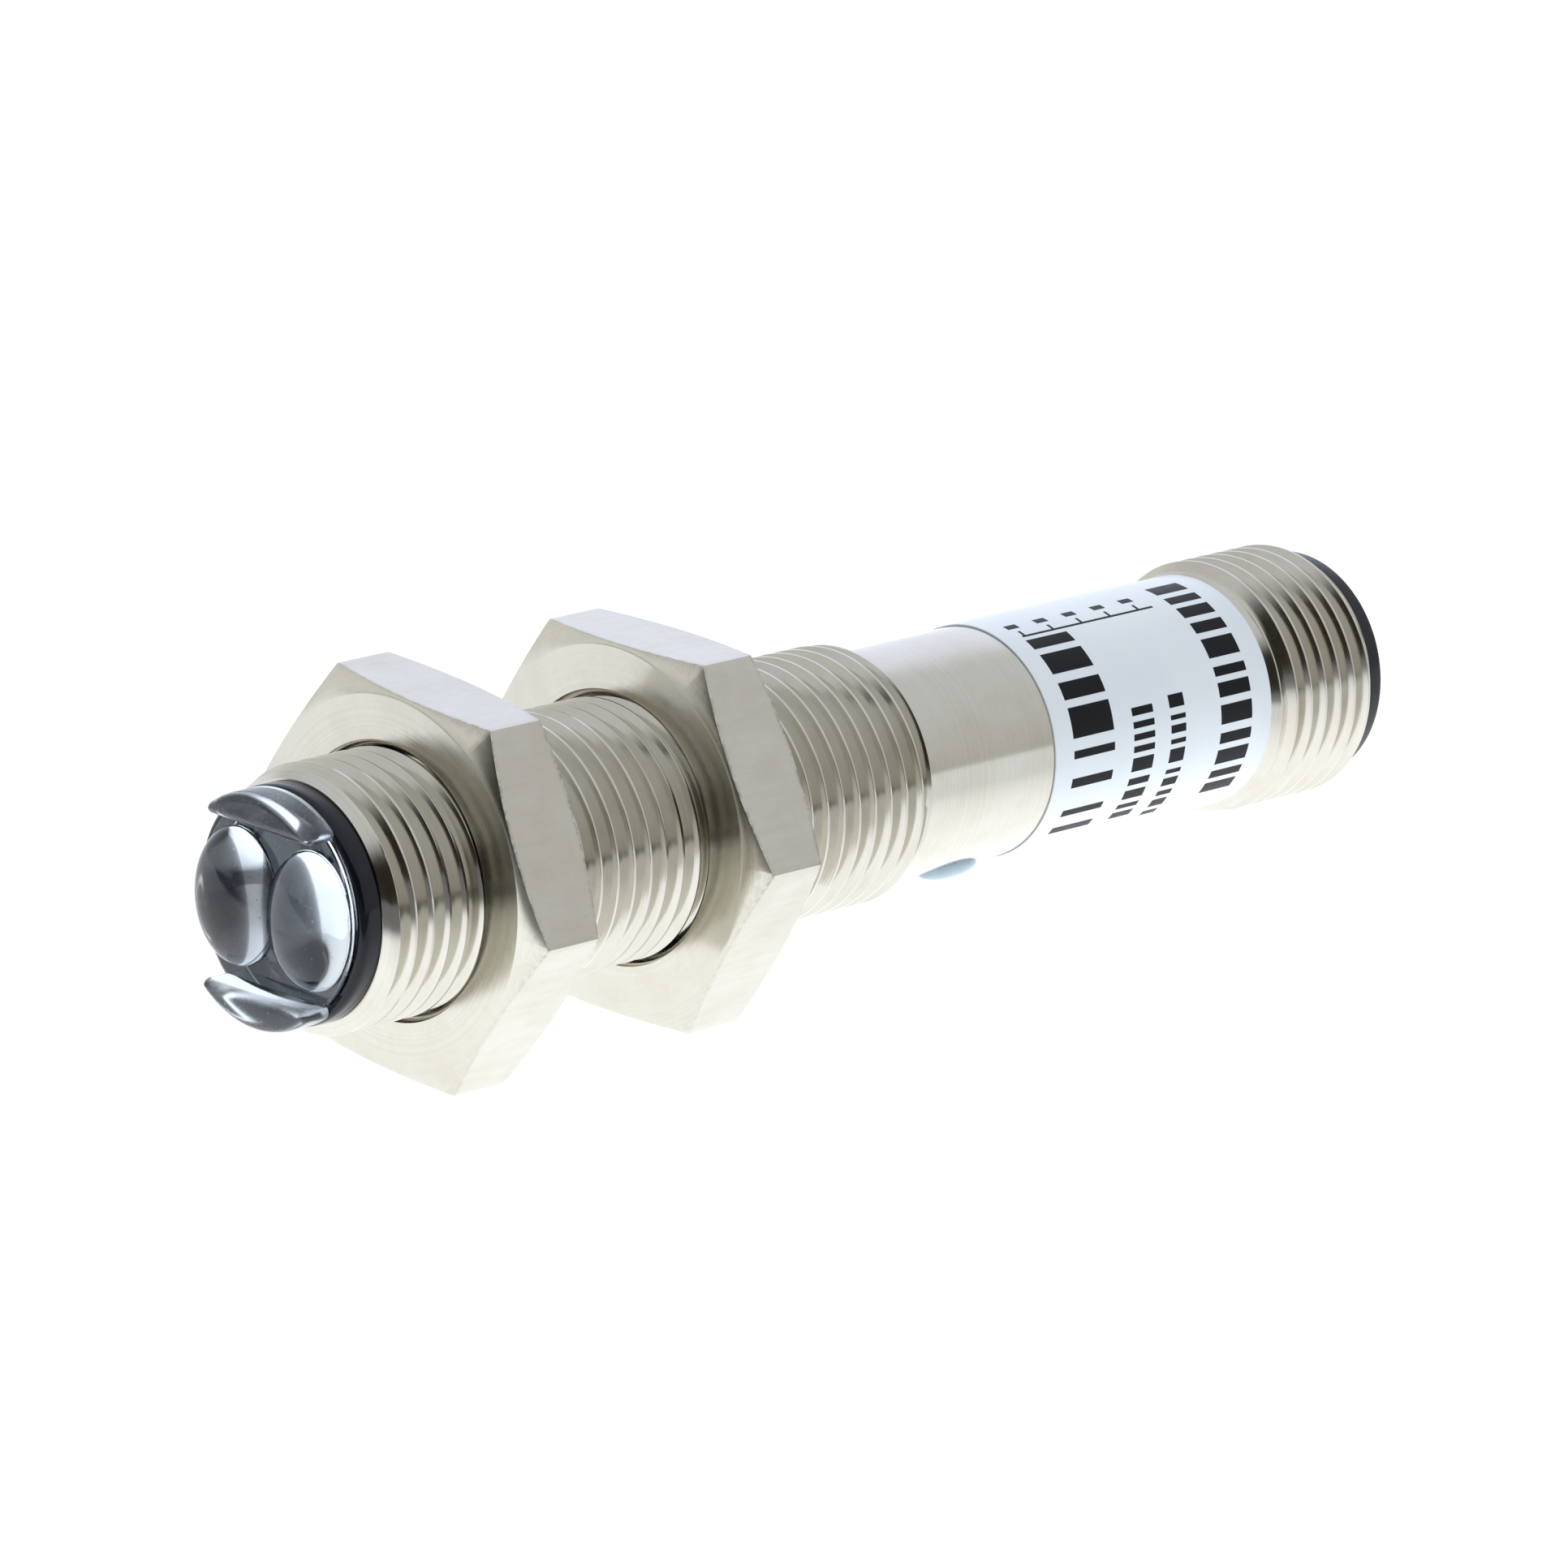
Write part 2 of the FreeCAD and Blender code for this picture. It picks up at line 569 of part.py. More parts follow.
# ---------------------------------------------------------------- assembly and export
def build():
    """Make every sub-part and return them by label."""
    parts = [make_barrel(), make_connector_shell(), make_nut("front_nut", "front_nut_station",
             DIMENSIONS["front_nut_turn"]), make_nut("rear_nut", "rear_nut_station", 0.0),
             make_contact_carrier(), make_carrier_seal(), make_potting_plug()]
    parts += [make_contact_pin(number) for number in range(4)]
    parts += [make_lead(number) for number in range(4)]
    parts += [make_lens_block(), make_lens_ring(), make_optics_holder(), make_filter("emitter_filter", "+"),
              make_filter("receiver_filter", "-"), make_optics_board(),
              make_chip_on_optics("emitter_led", 1, 1.6, 0.8),
              make_chip_on_optics("receiver_photodiode", -1, 2.2, 0.7), make_main_board()]
    parts += [make_package(label, *spec) for label, spec in PACKAGES.items()]
    parts += [make_package("indicator_led", *INDICATOR_LED), make_capacitors(), make_label(), make_window()]
    DOC.recompute()
    return parts


def check(parts):
    """Stop on any failed object, and on any sub-part without valid, closed solids."""
    for thing in DOC.Objects:
        if {"Invalid", "Error"} & set(thing.State):
            raise RuntimeError(f"{thing.Label}: {thing.State}")
    for part in parts:
        shape = part.Shape
        if shape.isNull() or not shape.isValid() or not shape.Solids:
            raise RuntimeError(f"{part.Label} has no valid solid")
        print(f"{part.Label:22s} solids {len(shape.Solids)} volume {shape.Volume:9.3f} mm3")


def export(parts):
    """Write one STEP file for each sub-part, named by its label."""
    os.makedirs("parts", exist_ok=True)
    for part in parts:
        part.Shape.exportStep(os.path.join("parts", part.Label + ".step"))


PARTS = build()
check(PARTS)
export(PARTS)
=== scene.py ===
"""Tubular photoelectric sensor: threaded barrel, twin-lobe lens, two nuts, label and plug connector."""

import json
import logging
import math
from dataclasses import dataclass
from enum import Enum
from typing import Sequence

import bmesh
import bpy
import numpy as np
from mathutils import Matrix, Vector

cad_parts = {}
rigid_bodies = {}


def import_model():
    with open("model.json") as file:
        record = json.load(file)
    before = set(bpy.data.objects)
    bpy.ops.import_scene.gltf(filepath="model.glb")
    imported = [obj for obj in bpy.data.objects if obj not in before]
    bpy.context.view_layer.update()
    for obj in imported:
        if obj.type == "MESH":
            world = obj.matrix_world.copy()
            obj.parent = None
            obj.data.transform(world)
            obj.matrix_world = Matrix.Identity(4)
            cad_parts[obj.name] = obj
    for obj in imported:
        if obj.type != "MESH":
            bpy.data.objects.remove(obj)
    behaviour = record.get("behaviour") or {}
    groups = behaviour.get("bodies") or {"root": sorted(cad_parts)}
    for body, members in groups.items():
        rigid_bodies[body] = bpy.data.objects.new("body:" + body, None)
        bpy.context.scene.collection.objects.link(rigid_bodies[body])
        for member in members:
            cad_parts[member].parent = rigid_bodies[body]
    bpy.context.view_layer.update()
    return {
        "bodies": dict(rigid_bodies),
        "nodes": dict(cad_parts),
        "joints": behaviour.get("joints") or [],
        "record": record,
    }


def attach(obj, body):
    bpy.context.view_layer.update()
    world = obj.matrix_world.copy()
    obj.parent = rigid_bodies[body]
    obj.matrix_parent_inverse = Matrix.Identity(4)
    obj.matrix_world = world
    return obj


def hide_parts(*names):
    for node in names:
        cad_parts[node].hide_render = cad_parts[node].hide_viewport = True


LOG = logging.getLogger("photoelectric_sensor")
MM = 0.001
COLUMNS = 144
SAME_POINT = 2e-4  # millimetres
Colour = tuple[float, float, float]
Pair = tuple[float, float]
Socket = bpy.types.NodeSocket


# ---- meshes worked out as whole arrays
@dataclass
class Surface:
    """A mesh as arrays: corners in millimetres, faces, each face's finish and each corner's share of painted
    edge shade.
    """

    points: np.ndarray
    quads: np.ndarray
    finish: np.ndarray
    # each corner's share of painted shade along edges, 0 to 1
    edge: np.ndarray

    def joined(self, *others: "Surface") -> "Surface":
        """This surface and others as one.

        Args:
            others: surfaces to add.

        Returns:
            One surface that holds them all.
        """
        parts = (self, *others)
        starts = np.cumsum([0] + [len(part.points) for part in parts[:-1]])
        points, finish, edge = (np.concatenate([getattr(part, name) for part in parts])
                                for name in ("points", "finish", "edge"))
        quads = np.concatenate([part.quads + start for part, start in zip(parts, starts)])
        return Surface(points, quads, finish, edge)


def grid_quads(rows: int, columns: int, wrap_rows: bool = False, wrap_columns: bool = True) -> np.ndarray:
    """Faces of a grid of points, each joining a point to the next in its row and in its column.

    Args:
        rows: number of rows.
        columns: number of columns.
        wrap_rows: join the last row to the first.
        wrap_columns: join the last column to the first.

    Returns:
        Array of four point numbers for each face.
    """
    j, i = np.meshgrid(np.arange(rows if wrap_rows else rows - 1),
                       np.arange(columns if wrap_columns else columns - 1), indexing="ij")
    down, along = (j + 1) % rows, (i + 1) % columns
    quads = columns * np.stack([j, j, down, down], axis=-1) + np.stack([i, along, along, i], axis=-1)
    return quads.reshape(-1, 4)


def surface(points: np.ndarray, quads: np.ndarray, edge: np.ndarray | None = None) -> Surface:
    """A surface from a grid of points and its faces, all in the first finish.

    Args:
        points: array whose last axis is x, y, z in millimetres.
        quads: faces by point number.
        edge: painted shade along edges for each point, 0 to 1.

    Returns:
        The surface.
    """
    flat = points.reshape(-1, 3)
    edge_shade = np.zeros(len(flat)) if edge is None else edge.reshape(-1)
    return Surface(flat, quads, np.zeros(len(quads), dtype=int), edge_shade)


def capped(loop: np.ndarray) -> Surface:
    """Closed slab whose long rows go once round it, its two ends filled by fans of faces.

    Args:
        loop: an even number of rows of points.

    Returns:
        The slab.
    """
    rows, columns = loop.shape[:2]
    fan = np.array([(0, k, k + 1, k + 2) for k in range(1, rows - 2, 2)]) * columns
    sides = grid_quads(rows, columns, wrap_rows=True, wrap_columns=False)
    return surface(loop, np.concatenate([sides, fan, fan[:, ::-1] + columns - 1]))


def around_x(x: np.ndarray, radius: np.ndarray, angle: np.ndarray) -> np.ndarray:
    """Points at a distance from the X axis.

    Args:
        x: place along the axis.
        radius: distance from the axis.
        angle: angle from +Y towards +Z, in radians.

    Returns:
        Array of x, y, z.
    """
    x, radius, angle = np.broadcast_arrays(x, radius, angle)
    return np.stack([x, radius * np.cos(angle), radius * np.sin(angle)], axis=-1)


def full_turn(columns: int = COLUMNS) -> np.ndarray:
    """Evenly spaced angles once round."""
    return np.arange(columns) * 2 * np.pi / columns


def lathe(profile: Sequence[Pair], closed: bool = False, columns: int = COLUMNS) -> Surface:
    """Profile of (x, radius) pairs turned about the X axis; a radius of 0 closes a pole.

    Args:
        profile: pairs of place along the axis and radius, in millimetres.
        closed: join the profile's end to its start.
        columns: points round each ring.

    Returns:
        The turned surface.
    """
    x, radius = np.array(profile, dtype=float).T
    points = around_x(x[:, None], radius[:, None], full_turn(columns))
    return surface(points, grid_quads(len(profile), columns, wrap_rows=closed))


def rounded(corners: Sequence[tuple[float, float, float]], steps: int, closed: bool = True) -> list[Pair]:
    """Profile with rounded corners.

    Each corner becomes a quadratic curve between its two tangent points.

    Args:
        corners: x, radius and rounding of each corner.
        steps: points on each rounded corner.
        closed: treat the profile as a loop.

    Returns:
        List of (x, radius) pairs.
    """
    out: list[Pair] = []
    count = len(corners)
    for i, (x, r, soft) in enumerate(corners):
        ends = not closed and i in (0, count - 1)
        if soft <= 0 or ends:
            out.append((x, r))
            continue
        here = np.array([x, r])
        before = np.array(corners[(i - 1) % count][:2]) - here
        after = np.array(corners[(i + 1) % count][:2]) - here
        start = here + before / np.linalg.norm(before) * soft
        end = here + after / np.linalg.norm(after) * soft
        t = np.linspace(0, 1, steps)[:, None]
        curve = (1 - t) ** 2 * start + 2 * t * (1 - t) * here + t ** 2 * end
        out += [tuple(p) for p in curve]
    return out


def welded(shape: Surface) -> tuple[np.ndarray, ...]:
    """Merge points that coincide, drop faces that have no area, and turn the faces outwards.

    Args:
        shape: surface with repeated points.

    Returns:
        Points, painted edge shade, four-sided faces, triangles, and each face's finish.
    """
    key = np.round(shape.points / SAME_POINT).astype(np.int64)
    _, first, number = np.unique(key, axis=0, return_index=True, return_inverse=True)
    points, quads = shape.points[first], number.reshape(-1)[shape.quads]
    same = quads == np.roll(quads, -1, axis=1)
    opposite = (quads[:, 0] == quads[:, 2]) | (quads[:, 1] == quads[:, 3])
    whole = ~same.any(axis=1) & ~opposite
    three = (same.sum(axis=1) == 1) & ~opposite
    triangles, quads = quads[three][~same[three]].reshape(-1, 3), quads[whole]
    finish = np.concatenate([shape.finish[whole], shape.finish[three]])
    fans = np.concatenate([quads[:, [0, 1, 2]], quads[:, [0, 2, 3]], triangles])
    a, b, c = (points[fans[:, k]] for k in range(3))
    if np.einsum("ij,ij->i", a, np.cross(b, c)).sum() < 0:
        quads, triangles = quads[:, ::-1], triangles[:, ::-1]
    return points, shape.edge[first], quads, triangles, finish


def make_piece(name: str, shape: Surface, materials: Sequence[bpy.types.Material],
               crease: float = 28.0) -> bpy.types.Object:
    """Make an object from a surface, smooth except along creases.

    Args:
        name: object name.
        shape: the surface, in millimetres.
        materials: one material for each finish number.
        crease: edges that bend by more degrees than this stay sharp.

    Returns:
        The object.
    """
    points, edge_shade, quads, triangles, finish = welded(shape)
    mesh = bpy.data.meshes.new(name)
    mesh.from_pydata((points * MM).tolist(), [], quads.tolist() + triangles.tolist())
    mesh.polygons.foreach_set("material_index", finish.astype(np.int32))
    mesh.shade_smooth()
    attribute = mesh.attributes.new("edge_shade", "FLOAT", "POINT")
    attribute.data.foreach_set("value", edge_shade.astype(np.float32))
    mesh.set_sharp_from_angle(angle=math.radians(crease))
    mesh.update()
    piece = bpy.data.objects.new(name, mesh)
    for material in materials:
        mesh.materials.append(material)
    bpy.context.scene.collection.objects.link(piece)
    LOG.info("%s: %d faces", name, len(mesh.polygons))
    return piece


# ---- finishes
class Tree:
    """Short hand for building a node tree."""

    def __init__(self, tree: bpy.types.NodeTree) -> None:
        """Keep the tree."""
        self.tree = tree

    def feed(self, source: object, slot: Socket) -> None:
        """Link a socket to an input, or give the input a value.

        Args:
            source: socket, number, vector, or colour without alpha.
            slot: the input.
        """
        if isinstance(source, Socket):
            self.tree.links.new(source, slot)
        else:
            slot.default_value = (*source, 1.0) if slot.type == "RGBA" else source

    def add(self, kind: str, inputs: dict | None = None, **settings: object) -> bpy.types.Node:
        """Add a node, set its properties and feed its inputs.

        Args:
            kind: Blender's name of the node's type.
            inputs: what each input takes, by its name or number.
            settings: the node's own properties.

        Returns:
            The node.
        """
        node = self.tree.nodes.new(kind)
        for key, value in settings.items():
            setattr(node, key, value)
        for key, source in (inputs or {}).items():
            self.feed(source, node.inputs[key])
        return node

    def math(self, operation: str, *sources: object) -> Socket:
        """Result of a math operation on sockets or numbers."""
        return self.add("ShaderNodeMath", dict(enumerate(sources)), operation=operation).outputs[0]

    def axis(self, where: Socket, name: str) -> Socket:
        """One coordinate of a position or direction."""
        return self.add("ShaderNodeSeparateXYZ", {0: where}).outputs[name]

    def span(self, source: Socket, low: float, high: float, to_low: float = 0.0, to_high: float = 1.0,
             curve: str = "LINEAR") -> Socket:
        """Map one range of values to another, clamped.

        Args:
            source: the value.
            low: value that gives to_low.
            high: value that gives to_high.
            to_low: result at and below low.
            to_high: result at and above high.
            curve: Blender's name of the interpolation.

        Returns:
            The result's socket.
        """
        inputs = {"Value": source, "From Min": low, "From Max": high, "To Min": to_low, "To Max": to_high}
        return self.add("ShaderNodeMapRange", inputs, interpolation_type=curve).outputs["Result"]

    def blend(self, amount: object, first: object, second: object) -> Socket:
        """Mix two colours: the first at an amount of 0, the second at 1."""
        return self.add("ShaderNodeMix", {0: amount, 6: first, 7: second}, data_type="RGBA").outputs[2]

    def fade(self, source: Socket, low: float, high: float, first: object, second: object) -> Socket:
        """Colour that goes from the first to the second as a value goes from low to high."""
        return self.blend(self.span(source, low, high), first, second)

    def ramp(self, source: Socket, stops: Sequence[tuple]) -> Socket:
        """Colour ramp.

        Args:
            source: the value, 0 to 1.
            stops: (position, colour) pairs.

        Returns:
            The colour's socket.
        """
        node = self.add("ShaderNodeValToRGB", {"Fac": source})
        elements = node.color_ramp.elements
        while len(elements) < len(stops):
            elements.new(0.5)
        for element, (position, colour) in zip(elements, stops):
            element.position, element.color = position, (*colour, 1.0)
        return node.outputs["Color"]

    def white_to_camera(self, colour: Socket) -> Socket:
        """The colour for everything but the camera, which sees white."""
        seen = self.add("ShaderNodeLightPath").outputs["Is Camera Ray"]
        return self.blend(seen, colour, (1.0, 1.0, 1.0))


class Finish(Tree):
    """One material's node tree, around a principled shader and object coordinates."""

    def __init__(self, name: str, **values: object) -> None:
        """Start a material.

        Args:
            name: the material's name.
            values: what the shader's inputs take, as in put.
        """
        self.material = bpy.data.materials.new(name)
        self.material.use_nodes = True
        super().__init__(self.material.node_tree)
        self.shader = next(n for n in self.tree.nodes if n.type == "BSDF_PRINCIPLED")
        self.place = self.add("ShaderNodeTexCoord").outputs["Object"]
        self.put(**values)

    def put(self, **values: object) -> None:
        """Feed the shader's inputs by name, with spaces written as underscores."""
        for key, value in values.items():
            self.feed(value, self.shader.inputs[key.replace("_", " ")])

    def noise(self, scale: float, detail: float = 3.0, roughness: float = 0.55,
              where: Socket | None = None, line: bool = False) -> Socket:
        """Noise over the object, or along a distance.

        Args:
            scale: features per metre.
            detail: octaves.
            roughness: strength of each finer octave.
            where: coordinates or a distance, in place of the object's own coordinates.
            line: where is a distance.

        Returns:
            The noise value's socket.
        """
        inputs = {"Scale": scale, "Detail": detail, "Roughness": roughness,
                  "W" if line else "Vector": where or self.place}
        return self.add("ShaderNodeTexNoise", inputs, noise_dimensions="1D" if line else "3D").outputs["Fac"]

    def bump(self, height: Socket, strength: float, distance: float) -> None:
        """Raise the surface, on top of any bump already there.

        Args:
            height: the height's socket.
            strength: share of the full effect.
            distance: height in metres that a value of 1 stands for.
        """
        inputs = {"Strength": strength, "Distance": distance, "Height": height}
        normal = self.shader.inputs["Normal"]
        if normal.is_linked:
            inputs["Normal"] = normal.links[0].from_socket
        self.feed(self.add("ShaderNodeBump", inputs).outputs["Normal"], normal)


class Marks(Enum):
    """Which way the tool marks run on a metal surface."""

    TURNED = "turned"
    DRAWN = "drawn"


@dataclass(frozen=True)
class Nickel:
    """Nickel plating over machined brass: warm pale metal with tool marks, faint stains and a painted dark
    shade line along its edges.
    """

    name: str
    marks: Marks = Marks.TURNED
    colour: Colour = (0.63, 0.615, 0.56)
    stain: Colour = (0.55, 0.52, 0.44)
    groove: Colour = (0.46, 0.44, 0.38)
    # colour of the painted dark shade line along edges
    edge_shade_colour: Colour = (0.10, 0.09, 0.08)
    speck: Colour = (0.12, 0.10, 0.08)
    roughness: Pair = (0.16, 0.27)
    mark_height: float = 0.9e-6
    anisotropy: float = 0.0
    specks: float = 0.0

    def tool_marks(self, n: Finish) -> tuple[Socket, Socket]:
        """Noise along the axis and the radius for turned marks, or stretched along a flat for drawn ones.

        Args:
            n: the finish's node tree.

        Returns:
            Sockets of the fine and the coarse marks.
        """
        if self.marks is Marks.TURNED:
            flat = n.add("ShaderNodeVectorMath", {0: n.place, 1: (0, 1, 1)}, operation="MULTIPLY")
            radius = n.add("ShaderNodeVectorMath", {0: flat.outputs[0]}, operation="LENGTH")
            run = n.math("ADD", n.axis(n.place, "X"), radius.outputs["Value"])
            return n.noise(24000.0, 3.0, 0.5, run, True), n.noise(5200.0, 2.0, 0.5, run, True)
        long = n.add("ShaderNodeMapping", {"Vector": n.place, "Scale": (0.12, 1.0, 1.0)}).outputs[0]
        return n.noise(9000.0, where=long), n.noise(2600.0, 2.0, where=long)

    def material(self) -> bpy.types.Material:
        """Build the material.

        Returns:
            The material, its painted edge shade taken from the mesh's own attribute.
        """
        n = Finish(self.name, Metallic=1.0, IOR=1.5)
        fine, coarse = self.tool_marks(n)
        edge_shade_mask = n.add("ShaderNodeAttribute", attribute_name="edge_shade").outputs["Fac"]
        ragged_edge_shade = n.math("MULTIPLY", edge_shade_mask, n.span(n.noise(3200.0, 3.0, 0.7), 0.42, 0.60))
        plate = n.blend(n.span(n.noise(420.0, 5.0, 0.6), 0.42, 0.72, 0.0, 0.55), self.colour, self.stain)
        plate = n.blend(n.span(coarse, 0.35, 0.70, 0.0, 0.16), plate, self.groove)
        # painted shade: a dark line along the edges, broken by noise, standing in for the shade seen there
        plate = n.blend(n.math("MULTIPLY", ragged_edge_shade, 0.85), plate, self.edge_shade_colour)
        if self.specks:
            spots = n.span(n.noise(3600.0, 1.0, 0.4), 0.78, 0.80, 0.0, self.specks)
            plate = n.blend(spots, plate, self.speck)
        grain = n.noise(2600.0, 4.0, 0.65)
        mixed = n.math("ADD", n.math("MULTIPLY", fine, 0.5), n.math("MULTIPLY", grain, 0.5))
        dull = n.span(mixed, 0.30, 0.70, *self.roughness)
        n.put(Base_Color=plate, Roughness=n.math("ADD", dull, n.math("MULTIPLY", ragged_edge_shade, 0.25)))
        if self.anisotropy:
            round_axis = n.add("ShaderNodeTangent", direction_type="RADIAL", axis="X").outputs[0]
            n.put(Anisotropic=self.anisotropy, Anisotropic_Rotation=0.25, Tangent=round_axis)
        n.bump(fine, 0.6, self.mark_height)
        n.bump(coarse, 0.5, self.mark_height * 2.5)
        n.bump(n.noise(900.0, 2.0), 0.3, 2.0e-6)
        return n.material


@dataclass(frozen=True)
class Moulded:
    """Moulded plastic, rubber or resin: one body colour, faintly mottled, and a fine moulded texture."""

    name: str
    colour: Colour
    roughness: Pair = (0.25, 0.4)
    texture: float = 2.0e-6
    coat: float = 0.0
    mottle: float = 0.25
    gloss: float = 0.5

    def material(self) -> bpy.types.Material:
        """Build the material.

        Returns:
            The material, with colour, roughness and bump from noise.
        """
        n = Finish(self.name, Coat_Weight=self.coat, Coat_Roughness=0.06, Specular_IOR_Level=self.gloss)
        darker = tuple(c * (1 - self.mottle) for c in self.colour)
        n.put(Base_Color=n.fade(n.noise(900.0, 4.0), 0.35, 0.7, self.colour, darker),
              Roughness=n.span(n.noise(2400.0), 0.3, 0.7, *self.roughness))
        n.bump(n.noise(5200.0), 0.5, self.texture)
        return n.material


@dataclass(frozen=True)
class Clear:
    """Clear moulded acrylic with a faint tint, flow waves, dust, and frost beyond a height."""

    name: str
    tint: Colour = (0.82, 0.91, 1.0)
    roughness: Pair = (0.05, 0.10)
    transmission: float = 1.0
    dust: float = 0.35
    wave: float = 1.0e-6
    frost: float = 0.0
    frost_edge: Pair = (3.6e-3, 3.8e-3)

    def material(self) -> bpy.types.Material:
        """Build the material.

        Returns:
            The material, its dust small bright specks of noise.
        """
        n = Finish(self.name, IOR=1.49, Transmission_Weight=self.transmission)
        speck = n.span(n.noise(7000.0, 2.0, 0.5), 0.70, 0.76, 0.0, self.dust)
        smear = n.span(n.noise(1400.0, 4.0), 0.45, 0.75, *self.roughness)
        if self.frost:
            rise = n.math("ABSOLUTE", n.axis(n.place, "Z"))
            smear = n.math("ADD", smear, n.span(rise, *self.frost_edge, 0.0, self.frost))
        n.put(Base_Color=n.blend(speck, self.tint, (0.95, 0.97, 1.0)), Roughness=n.math("ADD", smear, speck))
        n.bump(n.noise(700.0, 2.0), 0.4, self.wave)
        return n.material


@dataclass(frozen=True)
class Film:
    """Printed label film: silvery white with a soft gloss laminate and a faint orange-peel."""

    name: str = "label_film"
    colour: Colour = (0.87, 0.94, 0.99)
    shade: Colour = (0.83, 0.91, 0.98)

    def material(self) -> bpy.types.Material:
        """Build the material.

        Returns:
            The material.
        """
        n = Finish(self.name, Coat_Weight=0.25, Coat_Roughness=0.12)
        n.put(Base_Color=n.fade(n.noise(260.0, 4.0), 0.35, 0.65, self.colour, self.shade),
              Roughness=n.span(n.noise(3000.0), 0.3, 0.7, 0.30, 0.42))
        n.bump(n.noise(1800.0, 2.0), 0.4, 2.0e-6)
        return n.material


@dataclass(frozen=True)
class Board:
    """Glass-epoxy board with green solder mask, a faint weave and pale copper tracks under the mask."""

    name: str = "board_mask"
    mask: Colour = (0.012, 0.12, 0.045)
    track: Colour = (0.03, 0.22, 0.07)

    def material(self) -> bpy.types.Material:
        """Build the material.

        Returns:
            The material.
        """
        n = Finish(self.name)
        cell = n.add("ShaderNodeTexVoronoi", {"Scale": 900.0, "Vector": n.place}, distance="MANHATTAN")
        path = n.span(cell.outputs["Distance"], 0.30, 0.34)
        weave = n.noise(4200.0, 2.0)
        n.put(Base_Color=n.blend(n.math("MULTIPLY", path, 0.8), self.mask, self.track),
              Roughness=n.span(weave, 0.3, 0.7, 0.2, 0.38))
        n.bump(path, 0.6, 1.2e-5)
        n.bump(weave, 0.4, 4.0e-6)
        return n.material


# ---- threads
@dataclass
class FineThread:
    """Metric thread of 1 mm pitch on a cylinder about the X axis, cut back by end chamfers."""

    start: float
    end: float
    major: float = 6.0
    minor: float = 5.39
    pitch: float = 1.0
    start_radius: float = 5.45
    end_radius: float = 5.4

    # half of one turn's profile from the crest: share of the pitch, and share of the depth lost
    shares: tuple = (0.0, 0.050, 0.070, 0.150, 0.300, 0.398, 0.420, 0.452, 0.5)
    losses: tuple = (0.0, 0.0, 0.021, 0.249, 0.675, 0.953, 0.986, 0.998, 1.0)

    def radius(self, x: np.ndarray, angle: np.ndarray) -> np.ndarray:
        """Radius on the helix: the profile at x less one pitch for each turn, under 45 degree end cones.

        Args:
            x: place along the axis.
            angle: angle round the axis, in radians.

        Returns:
            The radius.
        """
        turn = x / self.pitch - angle / (2 * np.pi)
        share = np.abs((turn + 0.5) % 1.0 - 0.5)
        thread = self.major - (self.major - self.minor) * np.interp(share, self.shares, self.losses)
        cone = np.minimum(self.start_radius + (x - self.start), self.end_radius + (self.end - x))
        return np.minimum(thread, np.maximum(cone, min(self.start_radius, self.end_radius)))

    def surface(self) -> Surface:
        """Grid whose rows follow the helix, so the last column joins the first a whole pitch further on.

        Returns:
            The threaded surface, open at both ends.
        """
        half = np.array(self.shares)
        steps = np.concatenate([half, 1.0 - half[-2:0:-1]])
        per_turn = len(steps)
        first = math.floor(self.start / self.pitch) - 1
        turns = math.ceil(self.end / self.pitch) + 1 - first
        base = self.pitch * (first + np.arange(turns)[:, None] + steps).reshape(-1)
        angle = full_turn()
        x = np.clip(base[:, None] + self.pitch * angle / (2 * np.pi), self.start, self.end)
        j, i = np.meshgrid(np.arange(len(base) - 1 - per_turn), np.arange(COLUMNS), indexing="ij")
        along = (i + 1) % COLUMNS
        skip = np.where(i == COLUMNS - 1, per_turn, 0)
        quads = COLUMNS * np.stack([j, j + skip, j + 1 + skip, j + 1], axis=-1)
        quads = quads + np.stack([i, along, along, i], axis=-1)
        return surface(around_x(x, self.radius(x, angle), angle), quads.reshape(-1, 4))

    def closed(self, profile: Sequence[Pair]) -> Surface:
        """The thread closed by a turned profile that runs from its end back to its start.

        Args:
            profile: pairs of place along the axis and radius, in millimetres.

        Returns:
            The closed surface.
        """
        angle, quads = full_turn(), grid_quads(2, COLUMNS)
        first, last = (around_x(x, self.radius(x, angle), angle) for x in (self.start, self.end))
        back = np.stack([last, around_x(*profile[0], angle)])
        front = np.stack([around_x(*profile[-1], angle), first])
        return self.surface().joined(surface(back, quads), lathe(profile), surface(front, quads))


